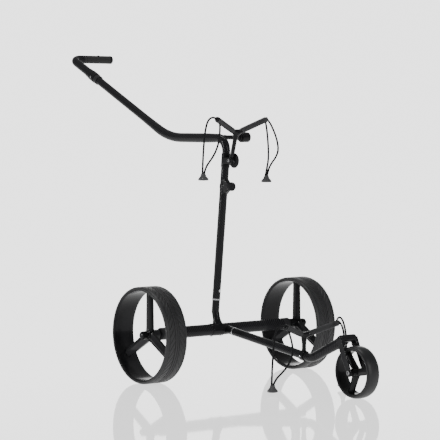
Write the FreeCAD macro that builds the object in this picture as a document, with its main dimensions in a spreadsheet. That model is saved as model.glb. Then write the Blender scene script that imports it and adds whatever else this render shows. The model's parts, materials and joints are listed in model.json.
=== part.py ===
import FreeCAD, Part
import Sketcher
import math
import os

# Three-wheel golf trolley in black carbon tube, without a bag.
# Frame: +Z up, +Y towards the handle, -Y towards the front wheel, +X towards the trolley's left.
# The origin is on the floor, under the middle of the trolley's length. Millimetres.

doc = FreeCAD.newDocument("golf_trolley")
sheet = doc.addObject("Spreadsheet::Sheet", "Sizes")
V = FreeCAD.Vector


class Size:
    """A size with its present value and the sheet formula that it comes from."""

    def __init__(self, value, text):
        self.value = value
        self.text = text

    def __add__(self, other):
        other = as_size(other)
        return Size(self.value + other.value, "(%s + %s)" % (self.text, other.text))

    def __radd__(self, other):
        return as_size(other) + self

    def __sub__(self, other):
        other = as_size(other)
        return Size(self.value - other.value, "(%s - %s)" % (self.text, other.text))

    def __rsub__(self, other):
        return as_size(other) - self

    def __mul__(self, factor):
        return Size(self.value * factor, "(%s * %r)" % (self.text, factor))

    def __neg__(self):
        return Size(-self.value, "(-1 * %s)" % self.text)


def as_size(number):
    return number if isinstance(number, Size) else Size(float(number), repr(float(number)))


def dimension(alias, value):
    """Write one driving dimension in the sheet and return it as a Size."""
    dimension.row += 1
    name_cell = "A%d" % dimension.row
    value_cell = "B%d" % dimension.row
    sheet.set(name_cell, alias)
    sheet.set(value_cell, str(value))
    sheet.setAlias(value_cell, alias)
    return Size(float(value), "Sizes." + alias)


dimension.row = 0

# ---- driving dimensions -------------------------------------------------------------------
axle_place = dimension("axle_place", -74.07)          # rear axle's Y, which centres the length
wheel_radius = dimension("wheel_radius", 150)
wheel_half_width = dimension("wheel_half_width", 38)
wheel_half_track = dimension("wheel_half_track", 296)
tread_depth = dimension("tread_depth", 7)
rim_depth = dimension("rim_depth", 5)
shoulder = dimension("shoulder", 6)
hub_radius = dimension("hub_radius", 15)
hub_cap_radius = dimension("hub_cap_radius", 13)
shaft_radius = dimension("shaft_radius", 6)
running_gap = dimension("running_gap", 0.05)
axle_radius = dimension("axle_radius", 18.4)
axle_half_length = dimension("axle_half_length", 252)
axle_wall = dimension("axle_wall", 2.5)
tube_radius = dimension("tube_radius", 12.6)
tube_wall = dimension("tube_wall", 2)
sleeve_radius = dimension("sleeve_radius", 20)
mast_offset = dimension("mast_offset", -30)          # the mast stands right of the middle plane
front_wheel_radius = dimension("front_wheel_radius", 77.3)
front_wheel_half_width = dimension("front_wheel_half_width", 23.5)
front_wheel_reach = dimension("front_wheel_reach", 631.5)
fork_half_width = dimension("fork_half_width", 32.5)
fork_plate = dimension("fork_plate", 4)
knee_radius = dimension("knee_radius", 15.5)
handle_level = dimension("handle_level", 755.5)
grip_radius = dimension("grip_radius", 14)
grip_end = dimension("grip_end", 134)
arm_radius = dimension("arm_radius", 7)
pad_radius = dimension("pad_radius", 9)
cord_radius = dimension("cord_radius", 3)
knob_radius = dimension("knob_radius", 16.5)
knob_height = dimension("knob_height", 22)
doc.recompute()

AXLE = V(0, axle_place.value, wheel_radius.value)    # middle of the rear axle
MAST_X = mast_offset.value
PARTS = []


def from_axle(x, back, height):
    """A place given by its X, its distance behind the rear axle and its height over the floor."""
    return V(x, AXLE.y + back, height)


def finish(shape_object, label, placement=None):
    """Give a finished sub-part its file label and, if it is moved, its placement."""
    shape_object.Label = label
    if placement is not None:
        shape_object.Placement = placement
    PARTS.append(shape_object)
    return shape_object


def facing(point, direction, up=V(0, 0, 1)):
    """Placement that puts the local +Z along direction and the local +Y as near up as it goes."""
    z_axis = V(direction).normalize()
    if abs(z_axis.dot(up)) > 0.999:
        up = V(0, 1, 0)
    x_axis = up.cross(z_axis).normalize()
    y_axis = z_axis.cross(x_axis)
    return FreeCAD.Placement(point, FreeCAD.Rotation(x_axis, y_axis, z_axis, "ZXY"))


def origin_part(body, role):
    """Plane or axis of a body's own origin."""
    return [item for item in body.Origin.OriginFeatures if item.Role == role][0]


def new_sketch(body, role, offset=None):
    sketch = body.newObject("Sketcher::SketchObject", body.Name + "_sketch")
    sketch.AttachmentSupport = [(origin_part(body, role), "")]
    sketch.MapMode = "FlatFace"
    if offset is not None:
        sketch.setExpression("AttachmentOffset.Base.z", as_size(offset).text)
    return sketch


def pin_point(sketch, edge, end, place):
    """Fix one end of an edge at a place whose two coordinates follow the sheet."""
    for kind, axis, size in (("DistanceX", -2, place[0]), ("DistanceY", -1, place[1])):
        size = as_size(size)
        if size.value == 0:
            sketch.addConstraint(Sketcher.Constraint("PointOnObject", edge, end, axis))
        else:
            number = sketch.addConstraint(Sketcher.Constraint(kind, -1, 1, edge, end, size.value))
            sketch.setExpression("Constraints[%d]" % number, size.text)


def draw_outline(sketch, points):
    """Closed outline. A point is (x, y) or (x, y, radius), where radius bows the edge before it."""
    flat = [V(as_size(p[0]).value, as_size(p[1]).value, 0) for p in points]
    count = len(points)
    for number in range(count):
        start = flat[number - 1]
        end = flat[number]
        if len(points[number]) == 3:
            bow = as_size(points[number][2])
            middle = (start + end) * 0.5
            half = (end - start).Length / 2
            side = V(end.y - start.y, start.x - end.x, 0).normalize()
            sag = abs(bow.value) - math.sqrt(max(bow.value ** 2 - half ** 2, 0))
            through = middle + side * math.copysign(sag, bow.value)
            sketch.addGeometry(Part.Arc(start, through, end), False)
        else:
            sketch.addGeometry(Part.LineSegment(start, end), False)
    for number in range(count):
        bowed = len(points[number]) == 3
        following = (number + 1) % count
        end_code = 2
        if bowed:
            arc_end = sketch.getPoint(number, 2)
            end_code = 2 if (arc_end - flat[number]).Length < 1e-6 else 1
        start_code = 1
        if len(points[following]) == 3:
            arc_start = sketch.getPoint(following, 1)
            start_code = 1 if (arc_start - flat[number]).Length < 1e-6 else 2
        sketch.addConstraint(Sketcher.Constraint("Coincident", number, end_code, following, start_code))
        pin_point(sketch, number, end_code, points[number])
        if bowed:
            bow = as_size(points[number][2])
            size = bow if bow.value > 0 else -bow
            radius = sketch.addConstraint(Sketcher.Constraint("Radius", number, size.value))
            sketch.setExpression("Constraints[%d]" % radius, size.text)


def revolve(body, points):
    """Turn an outline of (distance from the axis, height) about the body's own Z axis."""
    sketch = new_sketch(body, "XZ_Plane")
    draw_outline(sketch, points)
    turn = body.newObject("PartDesign::Revolution", body.Name + "_turn")
    turn.Profile = sketch
    turn.ReferenceAxis = (sketch, ["V_Axis"])
    turn.Angle = 360
    return turn


def turned(label, points, placement):
    """A round piece made of one turned outline."""
    body = doc.addObject("PartDesign::Body", label)
    revolve(body, points)
    return finish(body, label, placement)


def ring_outline(inner, outer, low, high):
    return [(inner, low), (outer, low), (outer, high), (inner, high)]


# ---- tubes that follow a bent path --------------------------------------------------------
def bent_path(points, radii):
    """Straight runs through points, joined by tangent arcs of the given radii."""
    edges = []
    start = points[0]
    for corner, after, radius in zip(points[1:-1], points[2:], radii):
        back = (start - corner).normalize()
        ahead = (after - corner).normalize()
        half_angle = back.getAngle(ahead) / 2
        reach = radius / math.tan(half_angle)
        middle_line = (back + ahead).normalize()
        centre = corner + middle_line * (radius / math.sin(half_angle))
        arc_start = corner + back * reach
        arc_end = corner + ahead * reach
        edges.append(Part.LineSegment(start, arc_start).toShape())
        edges.append(Part.Arc(arc_start, centre - middle_line * radius, arc_end).toShape())
        start = arc_end
    edges.append(Part.LineSegment(start, points[-1]).toShape())
    return Part.Wire(edges)


def swept(name, wire, radius):
    """Solid bar of one radius along a path, as a Part sweep of a circle."""
    path = doc.addObject("Part::Feature", name + "_path")
    path.Shape = wire
    circle = doc.addObject("Part::Circle", name + "_circle")
    circle.setExpression("Radius", as_size(radius).text)
    first = wire.OrderedEdges[0]
    circle.Placement = facing(first.valueAt(first.FirstParameter), first.tangentAt(first.FirstParameter))
    sweep = doc.addObject("Part::Sweep", name + "_sweep")
    sweep.Sections = [circle]
    sweep.Spine = (path, ["Edge%d" % (n + 1) for n in range(len(wire.Edges))])
    sweep.Solid = True
    sweep.Frenet = False
    return sweep


def point_along(wire, share):
    """Point and direction at a share of a wire's length."""
    remaining = share * wire.Length
    for edge in wire.OrderedEdges:
        if remaining <= edge.Length + 1e-6:
            parameter = edge.getParameterByLength(min(remaining, edge.Length))
            return edge.valueAt(parameter), edge.tangentAt(parameter)
        remaining -= edge.Length
    return edge.valueAt(edge.LastParameter), edge.tangentAt(edge.LastParameter)


def tapered_bar(wire, stations):
    """Round bar along a path whose radius is given at shares of the path's length."""
    shell = Part.BRepOffsetAPI.MakePipeShell(wire)
    for share, radius in stations:
        place, way = point_along(wire, share)
        shell.add(Part.Wire(Part.makeCircle(radius, place, way)))
    shell.build()
    shell.makeSolid()
    return shell.shape()


def cut(name, base, tool):
    result = doc.addObject("Part::Cut", name)
    result.Base = base
    result.Tool = tool
    return result


def fuse(name, shapes):
    result = doc.addObject("Part::MultiFuse", name)
    result.Shapes = shapes
    return result


def cylinder(name, radius, start, end):
    """Part cylinder between two places."""
    bar = doc.addObject("Part::Cylinder", name)
    bar.setExpression("Radius", as_size(radius).text)
    bar.Height = (end - start).Length
    bar.Placement = facing(start, end - start)
    return bar


def box(name, sizes, centre, rotation):
    """Part box by its three sizes, centred on a place."""
    block = doc.addObject("Part::Box", name)
    for side, size in zip(("Length", "Width", "Height"), sizes):
        block.setExpression(side, as_size(size).text)
    half = V(*[as_size(size).value / 2 for size in sizes])
    block.Placement = FreeCAD.Placement(centre - rotation.multVec(half), rotation)
    return block


# ---- rear wheels --------------------------------------------------------------------------
def spoke_section(body, distance, half_width, half_depth, middle):
    """Six-sided end of a spoke: a ridge on both faces and flat edges 0.42 as thick as its middle."""
    edge = 0.42 * half_depth
    sketch = new_sketch(body, "XZ_Plane", -distance)
    draw_outline(sketch, [(-half_width, middle - edge), (0, middle - half_depth), (half_width, middle - edge),
                          (half_width, middle + edge), (0, middle + half_depth), (-half_width, middle + edge)])
    return sketch


def add_spokes(body, root, end):
    """Three spokes lofted from the root sketch to the end sketch, spaced evenly about local Z."""
    spoke = body.newObject("PartDesign::AdditiveLoft", body.Name + "_spoke")
    spoke.Profile = root
    spoke.Sections = [end]
    doc.recompute()
    spokes = body.newObject("PartDesign::PolarPattern", body.Name + "_spokes")
    spokes.Originals = [spoke]
    spokes.Axis = (origin_part(body, "Z_Axis"), [""])
    spokes.Angle = 360
    spokes.Occurrences = 3
    body.Tip = spokes


def rear_wheel(side, outward):
    """Tyre, spoked wheel, bearing sleeve and hub cap. The local +Z points away from the trolley."""
    place = facing(from_axle(outward * wheel_half_track.value, 0, AXLE.z), V(outward, 0, 0))
    rim_outer = wheel_radius - tread_depth
    rim_inner = rim_outer - rim_depth
    half = wheel_half_width
    crown = half - shoulder
    groove = 2.0
    tyre = [(rim_outer, -half), (wheel_radius - 3.5, -half + 0.8), (wheel_radius, -crown, 8.0),
            (wheel_radius, -groove), (wheel_radius - 1.5, -groove), (wheel_radius - 1.5, groove),
            (wheel_radius, groove), (wheel_radius, crown), (wheel_radius - 3.5, half - 0.8, 8.0),
            (rim_outer, half)]
    turned("rear_tyre_" + side, tyre, place)

    body = doc.addObject("PartDesign::Body", "rear_wheel_" + side)
    bore = hub_radius - 5
    revolve(body, [(bore, -34), (hub_radius - 1, -34), (hub_radius, -33), (hub_radius, 8),
                   (hub_radius - 1, 9), (bore, 9)])
    root = spoke_section(body, hub_radius - 2.5, 16, 11.5, -3)
    end = spoke_section(body, rim_inner + 1, 13.5, 10.5, -3)
    add_spokes(body, root, end)
    doc.recompute()
    revolve(body, ring_outline(rim_inner, rim_outer, -half + 1, half - 1))
    finish(body, "rear_wheel_" + side, place)

    turned("hub_bearing_" + side, ring_outline(shaft_radius + running_gap, bore, -34, 8), place)
    cap = [(shaft_radius + 0.6, 12.4), (hub_cap_radius, 12.4), (hub_cap_radius, 25),
           (hub_cap_radius - 7, 32.5, 9.0), (0, 33.5), (0, 29), (shaft_radius + 0.6, 29)]
    turned("hub_cap_" + side, cap, place)


# ---- rear axle with its two sockets -------------------------------------------------------
def rear_axle():
    along = facing(AXLE, V(1, 0, 0))
    turned("axle_tube", ring_outline(axle_radius - axle_wall, axle_radius, -axle_half_length,
                                     axle_half_length), along)
    for side, outward in (("right", -1), ("left", 1)):
        place = facing(AXLE + V(outward * axle_half_length.value, 0, 0), V(outward, 0, 0))
        lip = axle_radius + 0.8
        turned("axle_end_" + side, [(0, -20), (axle_radius - axle_wall, -20), (axle_radius - axle_wall, 0),
                                    (axle_radius, 0), (axle_radius, -23), (lip, -23), (lip, 3),
                                    (hub_radius, 7.5), (shaft_radius, 7.5), (shaft_radius, 68.2),
                                    (shaft_radius - 0.8, 69), (0, 69)], place)


# ---- socket joints for the mast and the front tube ----------------------------------------
MAST_FOOT = from_axle(MAST_X, -2, AXLE.z)
MAST_BEND = from_axle(MAST_X, 13.5, 206)
MAST_TILT = math.radians(6.37)
MAST_UP = V(0, -math.sin(MAST_TILT), math.cos(MAST_TILT))
MAST_RING = MAST_BEND + MAST_UP * 38
RING_LENGTH = 4.0
SPIGOT_LENGTH = 58.0
FRONT_FALL = math.radians(7.0)
FRONT_WAY = V(0, -math.cos(FRONT_FALL), -math.sin(FRONT_FALL))
FRONT_RING = AXLE + FRONT_WAY * 44


def square_to(way, rough):
    """The direction nearest to rough that is square to way."""
    return (rough - way * rough.dot(way)).normalize()


def socket(name, base_solids, ring_place, way, button_way):
    """Bent or straight socket, its bright ring, its inner spigot and the sprung lock button."""
    button_way = square_to(way, button_way)
    spigot_radius = tube_radius - tube_wall - running_gap
    tip = ring_place + way * (RING_LENGTH + SPIGOT_LENGTH)
    spigot = cylinder(name + "_spigot", spigot_radius, ring_place - way, tip)
    seat = ring_place + way * 30
    hole = cylinder(name + "_seat", 3.25, seat - button_way * 4, seat + button_way * 20)
    finish(cut(name + "_drilled", fuse(name + "_solid", base_solids + [spigot]), hole), name + "_socket")
    turned(name + "_ring", ring_outline(spigot_radius, tube_radius + 0.9, 0, RING_LENGTH),
           facing(ring_place, way))
    turned(name + "_button", [(0, 2), (3.2, 2), (3.2, 13.2), (2.2, 14.4, 2.0), (0, 14.6)],
           facing(seat, button_way))


def sockets():
    flare = doc.addObject("Part::Cone", "mast_flare")
    flare.Radius1 = tube_radius.value + 4
    flare.Radius2 = tube_radius.value - 0.4
    flare.Height = 14
    foot_way = (MAST_BEND - MAST_FOOT).normalize()
    flare.Placement = facing(MAST_FOOT + foot_way * 15, foot_way)
    neck = swept("mast_neck", bent_path([MAST_FOOT, MAST_BEND, MAST_RING], [45]), tube_radius - 0.2)
    sleeve = cylinder("mast_sleeve", sleeve_radius, from_axle(-62, 0, AXLE.z), from_axle(-13.4, 0, AXLE.z))
    axle_bore = cylinder("mast_sleeve_bore", axle_radius, from_axle(-80, 0, AXLE.z), from_axle(0, 0, AXLE.z))
    shell = cut("mast_foot", fuse("mast_foot_solid", [sleeve, neck, flare]), axle_bore)
    socket("mast", [shell], MAST_RING, MAST_UP, V(0.25, -1, 0))

    stub = cylinder("front_stub", tube_radius, AXLE, FRONT_RING)
    stub_bore = cylinder("front_stub_bore", axle_radius, from_axle(-40, 0, AXLE.z), from_axle(40, 0, AXLE.z))
    shell = cut("front_foot", stub, stub_bore)
    socket("front", [shell], FRONT_RING, FRONT_WAY, V(1, 0, 0))


def plug_tube(label, start, way, length, button_way):
    """Straight tube that pushes over a spigot, with a hole for the lock button."""
    outer = cylinder(label + "_outer", tube_radius, start, start + way * length)
    inner = cylinder(label + "_inner", tube_radius - tube_wall, start - way, start + way * (length + 1))
    seat = start + way * (30 - RING_LENGTH)
    hole = cylinder(label + "_hole", 3.5, seat, seat + square_to(way, button_way) * 20)
    finish(cut(label + "_drilled", cut(label + "_hollow", outer, inner), hole), label)


# ---- front tube, knee, fork and front wheel -----------------------------------------------
FRONT_HUB = from_axle(0, -front_wheel_reach.value, front_wheel_radius.value)
RISE = math.radians(25.7)
RISE_WAY = V(0, -math.cos(RISE), math.sin(RISE))
LEG_WAY = V(0, math.sin(RISE), math.cos(RISE))
LEG_LENGTH = 116.0
WEB_HEIGHT = 22.0
LEG_DEPTH = 24.0
KNEE_TURN = AXLE + FRONT_WAY * 430.2
KNEE_START = KNEE_TURN - FRONT_WAY * 18.5
SHOULDER_HEIGHT = 16.0
NOTCH_HALF_WIDTH = 18.0
FRONT_SPOKE_LEAN = 202.0


def front_frame():
    tube_start = FRONT_RING + FRONT_WAY * RING_LENGTH
    plug_tube("front_tube", tube_start, FRONT_WAY, (KNEE_START - tube_start).Length, V(1, 0, 0))
    web_middle = FRONT_HUB + LEG_WAY * (LEG_LENGTH - WEB_HEIGHT / 2)
    web_back = web_middle - RISE_WAY * (LEG_DEPTH / 2)
    knee_path = bent_path([KNEE_START, KNEE_TURN, web_back], [60])
    thin = tube_radius.value + 0.4
    thick = knee_radius.value
    knee = doc.addObject("Part::Feature", "front_knee")
    knee.Shape = tapered_bar(knee_path, ((0.0, thin), (0.3, thick - 1.5), (1.0, thick)))
    finish(knee, "front_knee")

    turn = FreeCAD.Rotation(V(1, 0, 0), LEG_WAY, V(0, 0, 1), "XYZ")
    solids = []
    for name, side in (("right", -1), ("left", 1)):
        middle_x = V(side * (fork_half_width.value - fork_plate.value / 2), 0, 0)
        middle = FRONT_HUB + LEG_WAY * (LEG_LENGTH / 2) + middle_x
        solids.append(box("fork_leg_" + name, (fork_plate, LEG_LENGTH, LEG_DEPTH), middle, turn))
        wide = fork_half_width.value - NOTCH_HALF_WIDTH
        corner = FRONT_HUB + LEG_WAY * (LEG_LENGTH - WEB_HEIGHT - SHOULDER_HEIGHT / 2 + 2)
        corner_x = V(side * (NOTCH_HALF_WIDTH + wide / 2), 0, 0)
        solids.append(box("fork_shoulder_" + name, (wide, SHOULDER_HEIGHT, LEG_DEPTH), corner + corner_x, turn))
        eye_start = FRONT_HUB + V(side * (fork_half_width.value - fork_plate.value), 0, 0)
        eye_end = FRONT_HUB + V(side * fork_half_width.value, 0, 0)
        solids.append(cylinder("fork_eye_" + name, LEG_DEPTH / 2, eye_start, eye_end))
    solids.append(box("fork_web", (fork_half_width * 2, WEB_HEIGHT, LEG_DEPTH), web_middle, turn))
    axle_hole = cylinder("fork_hole", 4, FRONT_HUB - V(50, 0, 0), FRONT_HUB + V(50, 0, 0))
    finish(cut("fork_drilled", fuse("fork_solid", solids), axle_hole), "fork")


def front_wheel():
    place = facing(FRONT_HUB, V(-1, 0, 0))
    tread = front_wheel_radius
    wide = front_wheel_half_width
    seat = tread - 10
    edge = tread - 1.6
    tyre = [(seat, -wide + 2), (seat + 2, -wide), (edge, -wide + 12, 11.0), (edge, wide - 12, 42.12),
            (seat + 2, wide, 11.0), (seat, wide - 2)]
    turned("front_tyre", tyre, place)
    body = doc.addObject("PartDesign::Body", "front_wheel")
    bore = as_size(6.5)
    hub = as_size(11)
    hub_half = 21
    revolve(body, ring_outline(bore, hub, -hub_half, hub_half))
    root = spoke_section(body, hub - 1.5, 12, 10, 0)
    end = spoke_section(body, seat - 3, 10, 8.5, 0)
    add_spokes(body, root, end)
    doc.recompute()
    revolve(body, ring_outline(seat - 3.5, seat, -wide + 2.5, wide - 2.5))
    spoke_lean = FreeCAD.Rotation(V(1, 0, 0), FRONT_SPOKE_LEAN)
    finish(body, "front_wheel", FreeCAD.Placement(FRONT_HUB, spoke_lean * place.Rotation))
    turned("front_bearing", ring_outline(4 + running_gap, bore, -hub_half, hub_half), place)
    reach = fork_half_width
    turned("front_axle_bolt", [(0, -reach - 6), (4, -reach - 6), (4, reach), (6.8, reach), (6.8, reach + 4.2),
                               (5.8, reach + 5.2), (3, reach + 5.2), (3, reach + 2), (0, reach + 2)], place)
    turned("front_axle_nut", ring_outline(4, 6.5, -reach - 5, -reach), place)
    for side, outward in (("right", 1), ("left", -1)):
        inner = hub_half + 0.4
        start = FRONT_HUB - V(outward * inner, 0, 0)
        turned("fork_spacer_" + side, ring_outline(4, 7, 0, fork_half_width - fork_plate - inner),
               facing(start, V(-outward, 0, 0)))


# ---- bag brackets -------------------------------------------------------------------------
UPPER_PIVOT = from_axle(-38, -79, 685.5)
UPPER_JOIN = from_axle(-38, -104, 771)
UPPER_TIP = V(100.5, -30.6, 45)
LOWER_FOOT = AXLE + FRONT_WAY * (390 / math.cos(FRONT_FALL))
LOWER_JOIN = from_axle(0, -390, 163)
LOWER_TIP = V(107, -40, 37)


def tip_of(join, reach, side):
    return join + V(side * reach.x, reach.y, reach.z)


def bracket(name, stem_start, join, reach, foot_shapes, hole):
    """Y-shaped bag bracket: stem, two arms with sleeves of soft grip, and a gusset at the fork."""
    solids = foot_shapes + [cylinder(name + "_stem", arm_radius, stem_start, join)]
    knuckle = doc.addObject("Part::Sphere", name + "_knuckle")
    knuckle.setExpression("Radius", (arm_radius + 2.5).text)
    knuckle.Placement.Base = join
    solids.append(knuckle)
    for side_name, side in (("right", -1), ("left", 1)):
        tip = tip_of(join, reach, side)
        way = (tip - join).normalize()
        length = (tip - join).Length
        solids.append(cylinder("%s_arm_%s" % (name, side_name), arm_radius, join, tip))
        gusset = doc.addObject("Part::Cone", "%s_gusset_%s" % (name, side_name))
        gusset.setExpression("Radius1", (arm_radius + 2.5).text)
        gusset.setExpression("Radius2", arm_radius.text)
        gusset.Height = 0.16 * length
        gusset.Placement = facing(join, way)
        solids.append(gusset)
        pad_start = join + way * (0.17 * length)
        turned("%s_pad_%s" % (name, side_name),
               [(arm_radius, 0), (pad_radius - 1, 0), (pad_radius, 1.5), (pad_radius, 0.77 * length),
                (pad_radius - 1, 0.77 * length + 1.5), (arm_radius, 0.77 * length + 1.5)],
               facing(pad_start, way))
    finish(cut(name + "_drilled", fuse(name + "_solid", solids), hole), name)


def brackets():
    eye = cylinder("upper_eye", 9, UPPER_PIVOT - V(4, 0, 0), UPPER_PIVOT + V(4, 0, 0))
    bolt_hole = cylinder("upper_eye_hole", 3.05, UPPER_PIVOT - V(20, 0, 0), UPPER_PIVOT + V(20, 0, 0))
    way = (UPPER_JOIN - UPPER_PIVOT).normalize()
    neck = cylinder("upper_neck", 3.8, UPPER_PIVOT + way * 6, UPPER_PIVOT + way * 14)
    bracket("upper_bracket", UPPER_PIVOT + way * 12, UPPER_JOIN, UPPER_TIP, [eye, neck], bolt_hole)

    clamp = cylinder("lower_clamp", tube_radius + 3.4, LOWER_FOOT - FRONT_WAY * 9, LOWER_FOOT + FRONT_WAY * 9)
    clamp_bore = cylinder("lower_clamp_bore", tube_radius, LOWER_FOOT - FRONT_WAY * 12,
                          LOWER_FOOT + FRONT_WAY * 12)
    bracket("lower_bracket", LOWER_FOOT, LOWER_JOIN, LOWER_TIP, [clamp], clamp_bore)


# ---- mast, head fitting, handle -----------------------------------------------------------
MAST_START = MAST_RING + MAST_UP * RING_LENGTH


def on_mast(height):
    """Point of the mast's axis at a height over the floor."""
    return MAST_START + MAST_UP * ((height - MAST_START.z) / MAST_UP.z)


MAST_TOP = on_mast(709)
BEND_CORNER = on_mast(handle_level.value)
INCLINE = math.radians(24.98)
INCLINE_WAY = V(0, math.cos(INCLINE), math.sin(INCLINE))
REAR_CORNER = from_axle(MAST_X, 263.4, handle_level.value)
COLLAR_START = from_axle(MAST_X, 670.0, handle_level.value + 406.6 * math.tan(INCLINE))
GRIP_CORNER = from_axle(MAST_X, 842.5, handle_level.value + 579.1 * math.tan(INCLINE))
HANDLE_BEND = 41.0
REAR_BEND = 300.0


def mast():
    plug_tube("mast_tube", MAST_START, MAST_UP, (MAST_TOP - MAST_START).Length, V(0.25, -1, 0).normalize())
    head_low = on_mast(664)
    head_high = on_mast(707)
    head = cylinder("head_band", tube_radius + 1.6, head_low, head_high)
    ear_x = UPPER_PIVOT.x - 6.5
    ear_turn = FreeCAD.Rotation()
    ear_back = on_mast(UPPER_PIVOT.z).y
    ear_middle = V(ear_x, (ear_back + UPPER_PIVOT.y) / 2, UPPER_PIVOT.z)
    ear = box("head_ear", (4.4, ear_back - UPPER_PIVOT.y, 20), ear_middle, ear_turn)
    ear_eye = cylinder("head_ear_eye", 10, V(ear_x - 2.2, UPPER_PIVOT.y, UPPER_PIVOT.z),
                       V(ear_x + 2.2, UPPER_PIVOT.y, UPPER_PIVOT.z))
    bore = cylinder("head_bore", tube_radius, on_mast(640), on_mast(730))
    bolt_hole = cylinder("head_hole", 3, UPPER_PIVOT - V(30, 0, 0), UPPER_PIVOT)
    solid = fuse("head_solid", [head, ear, ear_eye])
    finish(cut("head_cut", solid, fuse("head_tools", [bore, bolt_hole])), "mast_head")

    clip_place = on_mast(604)
    saddle = doc.addObject("Part::Wedge", "clip_saddle")
    saddle.Xmin, saddle.Xmax, saddle.X2min, saddle.X2max = -12, 12, -9, 9
    saddle.Ymin, saddle.Ymax = 0, 24
    saddle.Zmin, saddle.Zmax, saddle.Z2min, saddle.Z2max = -26, 26, -11, 11
    forward = FreeCAD.Rotation(V(0, 0, 1), 180)
    saddle.Placement = FreeCAD.Placement(clip_place + V(0, -6, 0), forward)
    clip_bore = cylinder("clip_bore", tube_radius, on_mast(560), on_mast(650))
    screw = cylinder("clip_screw", 3, clip_place + V(0, -24, 0), clip_place + V(0, -42, 0))
    band = cylinder("clip_band", tube_radius + 1.4, on_mast(598), on_mast(610))
    clip = cut("clip_cut", fuse("clip_solid", [saddle, band, screw]), clip_bore)
    finish(clip, "mast_clip")
    turned("clip_knob", [(3.05, 0), (11.6, 0), (14, 1.6), (14, 11), (12.6, 12.6), (0, 13.4), (0, 11),
                         (3.05, 11)], facing(clip_place + V(0, -32, 0), V(0, -1, 0)))


def handle_shape(inset, tail):
    """Handle tube whose round section grows through the front bend and shrinks up the incline."""
    path = bent_path([MAST_TOP, BEND_CORNER, REAR_CORNER, COLLAR_START], [HANDLE_BEND, REAR_BEND])
    thin = tube_radius.value - inset
    thick = tube_radius.value + 2.6 - inset
    slim = tube_radius.value + 0.6 - inset
    bar = tapered_bar(path, ((0.0, thin), (0.06, thin + 1), (0.16, thick), (0.42, thick), (0.62, slim + 0.3),
                             (0.8, slim), (1.0, slim)))
    return bar.fuse(Part.makeCylinder(slim, tail, COLLAR_START, INCLINE_WAY))


def handle():
    outer = doc.addObject("Part::Feature", "handle_outer")
    outer.Shape = handle_shape(0, 60)
    inner = doc.addObject("Part::Feature", "handle_inner")
    inner.Shape = handle_shape(tube_wall.value, 61)
    finish(cut("handle_hollow", outer, inner), "handle_tube")
    tube = tube_radius + 0.6
    turned("handle_collar", [(tube, 4), (tube + 2.2, 4), (tube + 2.8, 5.5), (tube + 2.8, 20), (tube + 1.8, 22),
                             (tube, 22)], facing(COLLAR_START, INCLINE_WAY))
    start = COLLAR_START + INCLINE_WAY * 22.4
    elbow_turn = 34.0
    sleeve_start = V(14, GRIP_CORNER.y, GRIP_CORNER.z)
    elbow = swept("grip_elbow_bar", bent_path([start, GRIP_CORNER, sleeve_start], [elbow_turn]), grip_radius)
    ring = cylinder("grip_elbow_ring", tube + 4.1, start, start + INCLINE_WAY * 32)
    neck = cylinder("grip_elbow_neck", tube + 2.5, start + INCLINE_WAY * 32, start + INCLINE_WAY * 50)
    core = cylinder("grip_core", grip_radius - 4, sleeve_start - V(2, 0, 0), V(126, sleeve_start.y, sleeve_start.z))
    socket_bore = cylinder("grip_socket_bore", tube + running_gap, start - INCLINE_WAY * 2,
                           start + INCLINE_WAY * 39)
    solid = fuse("grip_elbow_solid", [elbow, ring, neck, core])
    finish(cut("grip_elbow_cut", solid, socket_bore), "grip_elbow")
    along = facing(sleeve_start, V(1, 0, 0))
    sleeve_length = 110
    rubber = doc.addObject("PartDesign::Body", "grip_rubber")
    revolve(rubber, [(grip_radius - 4, 0), (grip_radius - 0.6, 0), (grip_radius, 1),
                     (grip_radius, sleeve_length), (grip_radius - 4, sleeve_length)])
    rubber.Placement = along
    end = grip_end - 14
    turned("grip_end_cap", [(0, 112), (grip_radius - 4, 112), (grip_radius - 4, sleeve_length),
                            (grip_radius + 0.4, sleeve_length), (grip_radius + 0.4, end - 4),
                            (grip_radius - 4, end, 5.0), (0, end)], along)
    stud_way = V(0, -0.5, 0.866)
    stud_foot = V(75, GRIP_CORNER.y, GRIP_CORNER.z)
    stud_hole = cylinder("grip_stud_hole", 4.8, stud_foot, stud_foot + stud_way * 20)
    finish(cut("grip_rubber_cut", rubber, stud_hole), "grip_sleeve")
    turned("grip_stud", [(0, 12.2), (4.5, 12.2), (4.5, 15.2), (3.6, 16, 1.2), (0, 16.2)],
           facing(stud_foot, stud_way))


def pivot_and_stub():
    way = facing(UPPER_PIVOT, V(-1, 0, 0))
    turned("pivot_bolt", [(0, -13.6), (3, -13.6), (3, 9), (5.2, 9), (5.2, 13), (4.4, 13.8), (2.2, 13.8),
                          (2.2, 11), (0, 11)], way)
    turned("pivot_washer", ring_outline(3.3, 8.4, -6.4, -4.3), way)
    turned("pivot_knob", [(3.05, -7.6), (22, -7.6), (23.5, -8.8), (23.5, -13.4), (22, -14.6), (0, -15.4),
                          (0, -13.9), (3.05, -13.9)], way)
    stub = facing(from_axle(MAST_X, -18, handle_level.value + 2), V(1, 0, 0))
    bar = doc.addObject("PartDesign::Body", "accessory_bar_body")
    revolve(bar, [(0, 6), (8, 6), (8, 17), (7, 19), (7, 70), (12, 70), (12, 75), (7, 75),
                  (7, 100), (0, 100)])
    bar.Placement = stub
    finish(cut("accessory_bar_cut", bar, doc.getObject("handle_outer")), "accessory_bar")
    bore = 7 + running_gap
    turned("accessory_cap", [(bore, 75.5), (16.2, 75.5), (16.2, 104), (12.6, 108.5, 6.0), (0, 108.5), (0, 100.4),
                             (bore, 100.4)], stub)


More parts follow.
